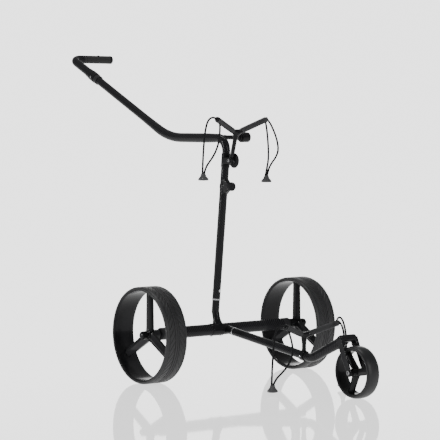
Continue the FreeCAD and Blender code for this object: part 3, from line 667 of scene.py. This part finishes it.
def blade(name, matrix, start, end, half_width, half_depth, flare):
    """Six-sided spoke with a ridge along both faces, flared into hub and rim. Sizes in mm."""
    quarter = [(0, 1), (0.08, 0.98), (0.5, 0.73), (0.94, 0.46), (0.99, 0.4), (1, 0.32)]
    section = [(x, z) for x, z in quarter] + [(x, -z) for x, z in reversed(quarter)]
    section += [(-x, -z) for x, z in quarter[1:]] + [(-x, z) for x, z in reversed(quarter[1:])]
    verts = []
    rows = 30
    for row in range(rows):
        share = row / (rows - 1)
        reach = start + (end - start) * share
        wide = half_width[0] + (half_width[1] - half_width[0]) * share
        deep = half_depth[0] + (half_depth[1] - half_depth[0]) * share
        gap = min(reach - start, end - reach)
        spread = 1 + flare * math.exp(-gap / 4.0)
        for x, z in section:
            verts.append(matrix @ (Vector((x * wide * spread, reach, z * deep * spread)) * MM))
    faces = grid_faces(rows, len(section))
    faces += end_faces(len(section), len(verts))
    return loose_mesh(name, verts, faces)


def joined(name, loose, material, body, sharp):
    """Loose pieces kept as they are in one mesh."""
    return add_mesh(name, *gathered(loose), material, body, sharp=sharp)


def rear_wheel(side, outward):
    body = "wheel_" + side
    matrix = facing(AXLE + Vector((outward * REAR_WHEEL_X * MM, 0, 0)), (outward, 0, 0))
    profile = [(142.9, -37.6), (145.4, -37.9), (148.6, -35.6), (149.8, -32), (150, -29.6), (148.9, -28.9),
               (148.9, -27.9), (150, -27.2), (150, -8.6), (148.4, -8.2), (148.4, -6.6), (150, -6.2),
               (150, -1.9), (148.5, -1.5), (148.5, 1.5), (150, 1.9),
               (150, 6.2), (148.4, 6.6), (148.4, 8.2), (150, 8.6), (150, 27.2), (148.9, 27.9),
               (148.9, 28.9), (150, 29.6), (149.8, 32), (148.6, 35.6), (145.4, 37.9), (142.9, 37.6)]
    tyre = lathe("tyre_" + side, profile, matrix, "tread_rubber", body, ["rear_tyre_" + side],
                 segments=240, soften=0.35)
    centre_tread(tyre, matrix)

    rim = [(143, -37), (143, 37), (141.6, 37.4), (139.6, 36.9), (138.4, 34.8), (138.1, 30), (138, 0),
           (138.1, -30), (138.4, -34.8), (139.6, -36.9), (141.6, -37.4)]
    lathe("rim_" + side, rim, matrix, "wheel_black", body, ["rear_wheel_" + side], segments=192,
          soften=0.8)
    spokes = []
    for turn in (0, 120, 240):
        spun = matrix @ Matrix.Rotation(math.radians(turn), 4, "Z") @ Matrix.Translation((0, 0, -3 * MM))
        spokes.append(blade("spoke", spun, 12, 138.3, (15.5, 13.1), (11.2, 10.2), 0.04))
    joined("spokes_" + side, spokes, "wheel_black", body, sharp=28)
    hub = [(10.05, -34), (13.6, -34), (15, -32.6), (15, -14), (16.4, -11), (16.4, 5), (15, 8.2),
           (13.4, 9), (10.05, 9)]
    lathe("hub_" + side, hub, matrix, "wheel_black", body, soften=0.7)
    cap = [(6.7, 12.4), (12.4, 12.4), (13, 13.2), (13, 15), (12.5, 15.5), (12.5, 16.5), (13, 17),
           (12.8, 24.5), (11.4, 28.6), (8.6, 31.6), (4.5, 33.1), (0.05, 33.5), (0.05, 29), (6.7, 29)]
    lathe("hub_button_" + side, cap, matrix, "gloss_black", "hub_cap_" + side, ["hub_cap_" + side],
          soften=0.3)


def centre_tread(obj, matrix):
    """UV of a tread: metres around the wheel and metres from the wheel's middle plane."""
    inverse = matrix.inverted()
    places = [inverse @ vertex.co for vertex in obj.data.vertices]
    layer = obj.data.uv_layers["UVMap"]
    for face in obj.data.polygons:
        angles = [math.atan2(places[v].y, places[v].x) for v in face.vertices]
        base = angles[0]
        for corner, vertex, angle in zip(face.loop_indices, face.vertices, angles):
            if angle - base > math.pi:
                angle -= math.tau
            if base - angle > math.pi:
                angle += math.tau
            layer.data[corner].uv = (angle * AXLE_Z * MM, places[vertex].z)


def front_wheel():
    matrix = facing(FRONT_HUB, (-1, 0, 0))
    tyre = [(67.3, -21.5), (68.6, -23.1), (71.6, -22.8), (74.2, -19.8), (75.8, -15.6), (76.7, -10.4),
            (77.15, -4.6), (77.25, 0), (77.15, 4.6), (76.7, 10.4), (75.8, 15.6), (74.2, 19.8), (71.6, 22.8),
            (68.6, 23.1), (67.3, 21.5)]
    lathe("front_tread", tyre, matrix, "smooth_rubber", "front_wheel", ["front_tyre"], 192, 1.2)
    rim = [(67.3, -21), (67.3, 21), (65.6, 21.4), (64.2, 20.4), (63.8, 17.6), (63.6, 0), (63.8, -17.6),
           (64.2, -20.4), (65.6, -21.4)]
    lathe("front_rim", rim, matrix, "wheel_black", "front_wheel", ["front_wheel"], 160, 0.8)
    spokes = []
    for turn in (0, 120, 240):
        lean = Matrix.Rotation(math.radians(FRONT_SPOKE_LEAN + turn), 4, "X")
        spun = Matrix.Translation(FRONT_HUB) @ lean @ facing((0, 0, 0), (-1, 0, 0))
        spokes.append(blade("spoke", spun, 8.5, 63.9, (11.7, 9.8), (9.7, 8.3), 0.05))
    joined("front_spokes", spokes, "wheel_black", "front_wheel", sharp=28)
    hub = [(6.6, -21), (10.2, -21), (11, -20), (11, -14), (12.2, -12), (12.2, 12), (11, 14), (11, 20),
           (10.2, 21), (6.6, 21)]
    lathe("front_hub", hub, matrix, "wheel_black", "front_wheel", segments=72)


# ---- tubes and their joints ------------------------------

def axle():
    half = Vector((AXLE_HALF * MM, 0, 0))
    tube("axle_skin", straight_run(AXLE - half, AXLE + half), [(0, AXLE_RADIUS), (1, AXLE_RADIUS)],
         "carbon", "frame", ["axle_tube"], 72)
    for side, outward in SIDES:
        matrix = facing(AXLE + Vector((outward * AXLE_HALF * MM, 0, 0)), (outward, 0, 0))
        collar = [(18.45, -23), (19.2, -22.6), (19.2, -19.4), (18.8, -19), (18.8, -17.8), (19.2, -17.4),
                  (19.2, 2), (18, 4.2), (15, 7.4), (6.02, 7.5), (6, 68.2), (5.2, 69), (0.05, 69),
                  (0.05, 0.3), (18.45, 0.3)]
        lathe("axle_collar_" + side, collar, matrix, "anodised", "frame", ["axle_end_" + side],
              soften=0.25)


def straight_run(start, end):
    return [start] + straight(start, end, 6)


def screw(name, point, way, radius, height, body, material="bright_metal"):
    """Socket-head screw with a six-sided recess. Sizes in mm."""
    matrix = facing(point, way)
    head = [(0.05, 0), (radius, 0), (radius, height * 0.8), (radius * 0.86, height), (radius * 0.52, height),
            (radius * 0.48, height * 0.35), (0.05, height * 0.3)]
    return lathe(name, head, matrix, material, body, segments=36, soften=0.15)


def mast_foot():
    foot_way = (MAST_BEND - MAST_FOOT).normalized()
    loose = [loose_rod("sleeve", place(-62, 0, AXLE_Z), place(-13.6, 0, AXLE_Z), 19.9, segments=72),
             loose_rod("flare", MAST_FOOT + foot_way * 14 * MM, MAST_FOOT + foot_way * 32 * MM, 17, 12.2),
             loose_rod("neck", MAST_FOOT, MAST_BEND, 12.2),
             loose_rod("upper", MAST_BEND - MAST_UP * 3 * MM, MAST_RING, 12.2),
             loose_rod("spigot", MAST_RING, MAST_RING + MAST_UP * 62 * MM, 10.5)]
    melt("mast_foot", loose, "gloss_black", "frame", ["mast_socket"], voxel=0.9, smooth=14,
         holes=[loose_rod("bore", place(-80, 0, AXLE_Z), place(10, 0, AXLE_Z), 18.42, segments=72)])
    for number, x in enumerate((-56, -20)):
        screw("mast_foot_screw_%d" % number, place(x, 0, AXLE_Z - 19.6), (0, 0, -1), 3.2, 2.2, "frame")
    ring_profile = [(10.6, 0), (12.9, 0), (13.4, 0.5), (13.4, 3.5), (12.9, 4), (10.6, 4)]
    band_profile = [(13.3, 1.2), (13.5, 1.3), (13.5, 2.7), (13.3, 2.8)]
    for name, spot, way in (("mast", MAST_RING, MAST_UP), ("front", FRONT_RING, FRONT_WAY)):
        matrix = facing(spot, way)
        lathe(name + "_ring_skin", ring_profile, matrix, "bright_ring", "frame", [name + "_ring"], soften=0.2)
        lathe(name + "_ring_band", band_profile, matrix, "gloss_black", "frame", soften=0.0)


def front_socket():
    loose = [loose_rod("stub", AXLE + FRONT_WAY * 12 * MM, FRONT_RING, 12.5, segments=64),
             loose_rod("saddle", AXLE + FRONT_WAY * 14 * MM, AXLE + FRONT_WAY * 26 * MM, 14.6, 12.5),
             loose_rod("spigot", FRONT_RING, FRONT_RING + FRONT_WAY * 62 * MM, 10.5)]
    melt("front_foot", loose, "gloss_black", "frame", ["front_socket"], voxel=0.8, smooth=8,
         holes=[loose_rod("bore", place(-60, 0, AXLE_Z), place(60, 0, AXLE_Z), 18.42, segments=72)])


def tubes():
    top = on_mast(709)
    tube("mast_skin", straight_run(MAST_START, top), [(0, TUBE_RADIUS), (1, TUBE_RADIUS)], "carbon", "frame",
         ["mast_tube"])
    corner = on_mast(HANDLE_LEVEL)
    path = bent_path([top, corner, REAR_CORNER, COLLAR_START + INCLINE_WAY * 60 * MM], [41, 300])
    widths = [(0.0, 12.6), (0.06, 13.5), (0.16, 15.1), (0.42, 15.1), (0.6, 13.2), (1.0, 13.2)]
    tube("handle_skin", path, widths, "carbon", "frame", ["handle_tube"])
    tube_start = FRONT_RING + FRONT_WAY * 4 * MM
    tube("front_skin", straight_run(tube_start, KNEE_START), [(0, TUBE_RADIUS), (1, TUBE_RADIUS)], "carbon",
         "frame", ["front_tube"])
    # Thin lip where the front tube ends and the knee begins.
    lathe("knee_seam", [(12.6, -1.2), (13.1, -0.8), (13.1, 0.8), (12.6, 1.2), (12.3, 0)],
          facing(KNEE_START, FRONT_WAY), "gloss_black", "frame", soften=0.2)


def knee_and_fork():
    web_middle = FRONT_HUB + LEG_WAY * 105 * MM
    web_back = web_middle - RISE_WAY * 12 * MM
    path = bent_path([KNEE_START, KNEE_TURN, web_back + RISE_WAY * 2 * MM], [60])
    tube("knee_skin", path, [(0.0, 13.0), (0.3, 14.0), (1.0, 15.4)], "carbon", "frame", ["front_knee"], 64)
    turn = Matrix((Vector((1, 0, 0)), RISE_WAY * -1, LEG_WAY)).transposed().to_4x4()
    loose = []
    for side in (-1, 1):
        leg_x = Vector((side * (FORK_HALF - 2) * MM, 0, 0))
        middle = FRONT_HUB + LEG_WAY * 53 * MM + leg_x
        loose.append(block("leg", (4, 20.4, 106), Matrix.Translation(middle) @ turn, 1.2, 1.16))
        centre = FRONT_HUB + leg_x
        half = Vector((2 * MM, 0, 0))
        loose.append(loose_rod("eye", centre - half, centre + half, 11.9))
        corner = FRONT_HUB + LEG_WAY * 89 * MM + Vector((side * 25.4 * MM, 0, 0))
        loose.append(block("shoulder", (14, 23.4, 15), Matrix.Translation(corner) @ turn, 5.0))
    crown = (FORK_HALF * 2 - 0.4, 23.6, 21.6)
    loose.append(block("crown", crown, Matrix.Translation(web_middle) @ turn, 8.0))
    melt("fork_skin", loose, "gloss_black", "frame", ["fork"], voxel=0.8, smooth=5)


def fork_hardware():
    matrix = facing(FRONT_HUB, (-1, 0, 0))
    head = [(0.05, 0.05), (6.8, 0.05), (6.8, 3.4), (6.0, 4.6), (3.2, 4.9), (2.9, 2.4), (0.05, 2.2)]
    head = [(radius, height + FORK_HALF) for radius, height in head]
    lathe("front_screw", head, matrix, "bolt_metal", "frame", ["front_axle_bolt"], 48, 0.2)
    nut = [(0.05, -6), (3.8, -6), (4, -5.2), (4.05, -5), (6.2, -5), (6.6, -4.2), (6.6, -0.05), (0.05, -0.05)]
    nut = [(radius, height - FORK_HALF) for radius, height in nut]
    lathe("front_nut", nut, matrix, "bright_metal", "frame", ["front_axle_nut"], 6, 0.0, sharp=20)
    pin = [(0.05, -FORK_HALF), (3.98, -FORK_HALF), (3.98, FORK_HALF), (0.05, FORK_HALF)]
    lathe("front_pin", pin, matrix, "bearing_metal", "frame")


# ---- brackets --------------------------------------------

def arm_tip(join, reach, side):
    return join + Vector((side * reach.x, reach.y, reach.z))


def bracket(name, foot, stem_start, join, reach, body, extra, holes):
    """Y-shaped bag bracket with ribbed sleeves on its arms."""
    loose = list(extra)
    loose.append(loose_rod("stem", stem_start, join, 6.7))
    loose.append(loose_rod("stem_top", join - (join - foot).normalized() * 24 * MM, join, 6.9, 9.8))
    for side in (-1, 1):
        tip = arm_tip(join, reach, side)
        way = (tip - join).normalized()
        length = (tip - join).length
        loose.append(loose_rod("arm", join, tip, 6.8))
        loose.append(loose_rod("root", join, join + way * 0.17 * length, 10.4, 7.4))
    web_right, web_left = (join + (arm_tip(join, reach, side) - join) * 0.13 for side in (-1, 1))
    loose.append(loose_rod("web", web_right, web_left, 6.8))
    lift = Vector((0, 0, 0.4 * MM))
    loose.append(loose_rod("knuckle", join - lift, join + lift, 10, ball=True))
    melt(name + "_skin", loose, "gloss_black", body, [name], voxel=0.9, smooth=8, holes=holes)
    for label, side in SIDES:
        tip = arm_tip(join, reach, side)
        way = (tip - join).normalized()
        length = (tip - join).length / MM
        long = 0.77 * length + 1.5
        profile = [(7.05, 0), (8.2, 0), (8.9, 0.8), (8.9, 3.2)]
        ribs = int((long - 8) / 2.6)
        for rib in range(ribs):
            start = 4.2 + rib * 2.6
            profile += [(8.7, start), (8.7, start + 0.6), (8.95, start + 0.9), (8.95, start + 2.3)]
        profile += [(8.9, long - 2.4), (8.9, long - 0.8), (8.2, long), (7.05, long)]
        lathe("%s_sleeve_%s" % (name, label), profile, facing(join + way * 0.17 * length * MM, way),
              "pad_rubber", body, ["%s_pad_%s" % (name, label)], 48, 0.15)


def brackets():
    half = Vector((4 * MM, 0, 0))
    way = (UPPER_JOIN - UPPER_PIVOT).normalized()
    eye = loose_rod("eye", UPPER_PIVOT - half, UPPER_PIVOT + half, 8.8, segments=48)
    neck = loose_rod("neck", UPPER_PIVOT + way * 6 * MM, UPPER_PIVOT + way * 15 * MM, 3.7, 4.2)
    hole = loose_rod("hole", UPPER_PIVOT - half * 3, UPPER_PIVOT + half * 3, 3.1)
    bracket("upper_bracket", UPPER_PIVOT, UPPER_PIVOT + way * 12.5 * MM, UPPER_JOIN, UPPER_REACH,
            "upper_bracket", [eye, neck], [hole])
    clamp = loose_rod("clamp", LOWER_FOOT - FRONT_WAY * 9 * MM, LOWER_FOOT + FRONT_WAY * 9 * MM, 15.8,
                      segments=64)
    bore = loose_rod("bore", LOWER_FOOT - FRONT_WAY * 14 * MM, LOWER_FOOT + FRONT_WAY * 14 * MM, 12.65,
                     segments=64)
    bracket("lower_bracket", LOWER_FOOT, LOWER_FOOT + Vector((0, 0, 8 * MM)), LOWER_JOIN, LOWER_REACH,
            "frame", [clamp], [bore])
    for number, side in enumerate((-1, 1)):
        screw("clamp_screw_%d" % number, LOWER_FOOT + Vector((side * 15.6 * MM, 0, 0)), (side, 0, 0), 3, 2,
              "frame")


# ---- mast fittings and handle ----------------------------

def mast_fittings():
    low = on_mast(664)
    high = on_mast(707)
    pivot = UPPER_PIVOT - Vector((6.5 * MM, 0, 0))
    ear_back = on_mast(UPPER_PIVOT.z / MM).y
    middle = Vector((pivot.x, (ear_back + pivot.y) / 2, pivot.z))
    half = Vector((2.1 * MM, 0, 0))
    ear_length = (ear_back - pivot.y) / MM
    loose = [loose_rod("band", low, high, 14.1, segments=64),
             block("ear", (4.2, ear_length, 19.6), Matrix.Translation(middle), 0.6),
             loose_rod("ear_eye", pivot - half, pivot + half, 9.9, segments=48)]
    bore = loose_rod("bore", on_mast(640), on_mast(730), 12.62, segments=64)
    melt("mast_head_skin", loose, "gloss_black", "frame", ["mast_head"], voxel=0.7, smooth=5, holes=[bore])

    bolt = [(0.05, 9.05), (5.2, 9.05), (5.2, 12.2), (4.5, 13.5), (2.5, 13.7), (2.2, 11.4), (0.05, 11.2)]
    matrix = facing(UPPER_PIVOT, (-1, 0, 0))
    lathe("pivot_head", bolt, matrix, "bolt_metal", "frame", ["pivot_bolt"], 48, 0.15)
    lathe("pivot_pin", [(0.05, -13.6), (2.98, -13.6), (2.98, 9), (0.05, 9)], matrix, "bright_metal", "frame")
    disc = [(3.3, -6.4), (8.3, -6.4), (8.3, -4.4), (3.3, -4.4)]
    lathe("pivot_disc", disc, matrix, "bright_ring", "frame", ["pivot_washer"], 64, 0.15)
    knob = [(3.1, -7.7), (20.6, -7.7), (22.6, -8.5), (23.4, -9.8), (23.4, -13), (22.4, -14.3), (17, -14.8),
            (16, -14.4), (8, -14.5), (7, -15.1), (0.05, -15.3), (0.05, -14), (3.1, -14)]
    lathe("pivot_knob_skin", knob, matrix, "knob_black", "pivot_knob", ["pivot_knob"], 168, 0.3,
          flute=(28, 1.0, -14.5, -8.4))

    place_of_clip = on_mast(604)
    ahead = facing(place_of_clip, (0, -1, 0))
    saddle = [block("saddle", (23.6, 51, 24), ahead @ Matrix.Translation((0, 0, 18 * MM)), 1.5, 0.44),
              loose_rod("band", on_mast(598), on_mast(610), 13.9, segments=64)]
    bore = loose_rod("bore", on_mast(560), on_mast(650), 12.62, segments=64)
    melt("clip_skin", saddle, "gloss_black", "frame", ["mast_clip"], voxel=0.7, smooth=5, holes=[bore])
    matrix = facing(place_of_clip - Vector((0, 32 * MM, 0)), (0, -1, 0))
    lathe("clip_screw", [(0.05, -8), (2.98, -8), (2.98, 10), (0.05, 10)], matrix, "bearing_metal", "frame")
    knob = [(3.1, 0), (12, 0), (13.6, 0.8), (14, 2.2), (14, 10.6), (13.2, 12), (9, 12.7), (8.2, 12.3),
            (3, 12.5), (0.05, 13.2), (0.05, 11), (3.1, 11)]
    lathe("clip_knob_skin", knob, matrix, "knob_black", "clip_knob", ["clip_knob"], 120, 0.3,
          flute=(20, 0.7, 1.2, 11.8))


def lock_buttons():
    for name, ring_place, way, rough in (("mast", MAST_RING, MAST_UP, Vector((0.25, -1, 0))),
                                         ("front", FRONT_RING, FRONT_WAY, Vector((1, 0, 0)))):
        square = (rough - way * rough.dot(way)).normalized()
        matrix = facing(ring_place + way * 30 * MM, square)
        dome = [(0.05, 2), (3.15, 2), (3.15, 12.8), (2.9, 13.7), (2.2, 14.3), (1.1, 14.55), (0.05, 14.6)]
        lathe(name + "_button_skin", dome, matrix, "button_white", name + "_button", [name + "_button"], 48,
              0.1)
        lathe(name + "_button_rim", [(3.5, 12.3), (4.6, 12.35), (4.7, 12.9), (3.6, 12.95)], matrix,
              "bright_ring", "frame", segments=48, soften=0.1)


def accessory():
    matrix = facing(place(MAST_X, -18, HANDLE_LEVEL + 2), (1, 0, 0))
    bar = [(0.05, 8), (7.9, 8), (7.9, 17), (7, 19.4), (7, 70), (11.4, 70), (12, 70.8), (12, 74.4), (7, 75),
           (7, 100), (0.05, 100)]
    lathe("accessory_bar_skin", bar, matrix, "gloss_black", "frame", ["accessory_bar"], 64, 0.5)
    cap = [(7.1, 75.6), (13.6, 75.6), (15.8, 76.8), (16.1, 78.4), (16.1, 81.8), (15.7, 82.2), (15.7, 83.2),
           (16.1, 83.6), (16.1, 103.4), (15.3, 106.2), (12.8, 107.9), (8, 108.4), (0.05, 108.5),
           (0.05, 100.5), (7.1, 100.5)]
    lathe("accessory_cap_skin", cap, matrix, "gloss_black", "accessory_cap", ["accessory_cap"], 72, 0.4)


def handle():
    matrix = facing(COLLAR_START, INCLINE_WAY)
    collar = [(13.25, 4), (15, 4), (15.9, 5.2), (15.9, 19.4), (15, 21.8), (13.25, 22)]
    lathe("collar_skin", collar, matrix, "anodised", "frame", ["handle_collar"], 96, 0.3,
          flute=(36, 0.35, 6, 19))
    start = COLLAR_START + INCLINE_WAY * 22.4 * MM
    sleeve_start = Vector((14 * MM, GRIP_CORNER.y, GRIP_CORNER.z))
    path = bent_path([start, GRIP_CORNER, sleeve_start], [34])
    tube("elbow_skin", path, [(0, 14.0), (1, 14.0)], "carbon", "handle_head", ["grip_elbow"], 56)
    ring = [(13.3, 0), (16.4, 0), (17.2, 0.8), (17.2, 7.6), (16.7, 8), (16.7, 9), (17.2, 9.4), (17.2, 31),
            (16, 32.4), (15.6, 34), (15.6, 49), (14.4, 50.2), (13.9, 50.2)]
    lathe("elbow_ring", ring, facing(start, INCLINE_WAY), "gloss_black", "handle_head", soften=0.3)
    pin_way = Vector((-1, 0, 0))
    screw("elbow_pin", start + INCLINE_WAY * 14 * MM + pin_way * 16.6 * MM, pin_way, 3.4, 0.7, "handle_head")

    along_x = facing(sleeve_start, (1, 0, 0))
    profile = [(10.1, 0), (12.9, 0), (13.6, 0.8), (13.9, 2.2), (13.9, 9.2), (13.5, 9.6), (13.5, 10.4),
               (13.9, 10.8), (13.9, 99), (13.5, 99.4), (13.5, 100.2), (13.9, 100.6), (13.9, 109),
               (13.3, 109.9), (10.1, 110)]
    lathe("grip_skin", profile, along_x, "grip_rubber", "handle_head", ["grip_sleeve"], 96, 0.3)
    cap = [(0.05, 112), (10, 112), (10, 110.1), (14, 110.1), (14.35, 110.8), (14.35, 113.4), (13.9, 113.8),
           (13.9, 114.6), (14.35, 115), (14.2, 117.2), (12.6, 119.3), (9.8, 119.95), (0.05, 120)]
    lathe("grip_cap_skin", cap, along_x, "gloss_black", "handle_head", ["grip_end_cap"], 96, 0.3)
    stud_way = Vector((0, -0.5, 0.866))
    stud = [(0.05, 12.2), (4.4, 12.2), (4.4, 14.9), (4.0, 15.6), (3.0, 16), (0.05, 16.15)]
    lathe("stud_skin", stud, facing(Vector((75 * MM, GRIP_CORNER.y, GRIP_CORNER.z)), stud_way), "gloss_black",
          "grip_stud", ["grip_stud"], 40, 0.2)


# ---- elastic straps --------------------------------------

def route(name, points, body):
    """Free length of elastic cord on one smooth curve."""
    curve = bpy.data.curves.new(name, "CURVE")
    curve.dimensions = "3D"
    curve.resolution_u = 10
    curve.bevel_depth = CORD_RADIUS * MM
    curve.bevel_resolution = 5
    curve.use_fill_caps = True
    spline = curve.splines.new("NURBS")
    spline.points.add(len(points) - 1)
    for control, point in zip(spline.points, points):
        control.co = (*point, 1)
    spline.order_u = 3
    spline.use_endpoint_u = True
    curve.materials.append(MATERIALS["cord_black"])
    obj = add_object(name + "_line", curve)
    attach(obj, body)
    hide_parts(name)


def strap_knob(name, top, body):
    """Gripping cone that the two strands of a strap run into."""
    matrix = facing(top, (0, 0, -1))
    profile = [(0.05, 0), (6.6, 0), (7.4, 1.2), (7.8, 4.4), (8.9, 7.8), (13.6, 13.4), (15.9, 16.2),
               (16.4, 18.2), (15.8, 20.2), (14, 21.3), (12.4, 21), (4, 21.4), (0.05, 22)]
    return lathe(name + "_skin", profile, matrix, "strap_knob", body, [name], 112, 0.4,
                 flute=(16, 0.9, 7, 20.8))


def straps():
    upper = {side: arm_tip(UPPER_JOIN, UPPER_REACH, side) for side in (-1, 1)}
    lower = {side: arm_tip(LOWER_JOIN, LOWER_REACH, side) for side in (-1, 1)}
    tips = {("upper", "right"): upper[-1], ("lower", "right"): lower[-1]}
    for (level, side), (top, strands) in STRAPS.items():
        body = "upper_bracket" if level == "upper" else "frame"
        knob = strap_knob("%s_knob_%s" % (level, side), place(*top), body)
        for kind, (length, points) in strands.items():
            line = [place(*point) for point in points]
            if kind == "outer" and (level, side) in tips:
                line.insert(0, tips[level, side])
            route("%s_cord_%s_%s" % (level, side, kind), line, body)


# Each strap: the top of its knob, then its two strands with their real length and route, all in mm.
STRAPS = {
    ("upper", "right"): ((-186.5, -132.6, 649), {
        "outer": (200.4, [
            (-149.5, -137, 820), (-162, -138.6, 818.5), (-172, -138.6, 811), (-178.5, -137.6, 796),
            (-182, -135.6, 774), (-184.5, -133.6, 745), (-186.5, -132.6, 712), (-188.5, -132.6, 680),
            (-189.8, -132.6, 649)]),
        "inner": (170.4, [
            (-119.5, -127.6, 801), (-119.5, -128.6, 785), (-121.5, -128.6, 762), (-126.5, -128.6, 736),
            (-137.5, -129.6, 714), (-151.5, -130.6, 695), (-166.5, -131.6, 680), (-178, -132.6, 665),
            (-183.2, -132.6, 649)])}),
    ("upper", "left"): ((58, -134.6, 639), {
        "outer": (198.7, [
            (60.5, -134, 815), (70.5, -135.6, 805), (80.5, -136.6, 788), (92.5, -137.6, 764),
            (101.5, -137.6, 738), (103.5, -137.6, 714), (92.5, -136.6, 693), (77, -135.6, 676),
            (66.5, -134.6, 659), (61.3, -134.6, 639)]),
        "inner": (174.0, [
            (55.5, -131.9, 811), (58.5, -132.6, 796), (62, -133.1, 775), (65, -133.6, 745),
            (66.5, -134.6, 714), (65.5, -134.6, 684), (59.5, -134.6, 660), (54.7, -134.6, 639)])}),
    ("lower", "right"): ((-154, -430, 30), {
        "outer": (202.2, [
            (-118, -432.5, 203.5), (-130.5, -433.5, 202), (-140.5, -433.5, 194.5), (-146, -432, 179),
            (-149.5, -430, 150), (-152.5, -430, 116), (-155, -430, 84), (-156.5, -430, 55),
            (-157.3, -430, 30)]),
        "inner": (191.2, [
            (-88, -423, 187), (-81, -423, 170), (-74, -424, 145), (-72, -425, 119), (-82, -426, 96),
            (-99, -427, 76), (-120, -428, 60), (-141, -429, 46), (-150.7, -430, 30)])}),
    ("lower", "left"): ((95, -459.5, 30), {
        "outer": (228.8, [
            (98, -426.5, 205), (96, -434.5, 214), (92.5, -447.5, 218), (89, -461.5, 213), (87.5, -472, 200),
            (89.5, -476.5, 181), (92.5, -477.5, 156), (94.5, -475.5, 130), (95, -472.5, 103),
            (95.5, -467.5, 76), (95.5, -464, 51), (96.8, -462.3, 30)]),
        "inner": (179.4, [
            (107, -430, 200), (105, -441, 193), (104, -449, 180), (104, -453.5, 162), (104, -456, 137),
            (102.5, -456.5, 110), (99, -457, 83.5), (95.5, -457, 56), (93.2, -456.7, 30)])}),
}


camera()
studio()
floor()
dress_frame()
for wheel_side, wheel_outward in SIDES:
    rear_wheel(wheel_side, wheel_outward)
front_wheel()
axle()
mast_foot()
front_socket()
tubes()
knee_and_fork()
fork_hardware()
brackets()
mast_fittings()
lock_buttons()
accessory()
handle()
straps()
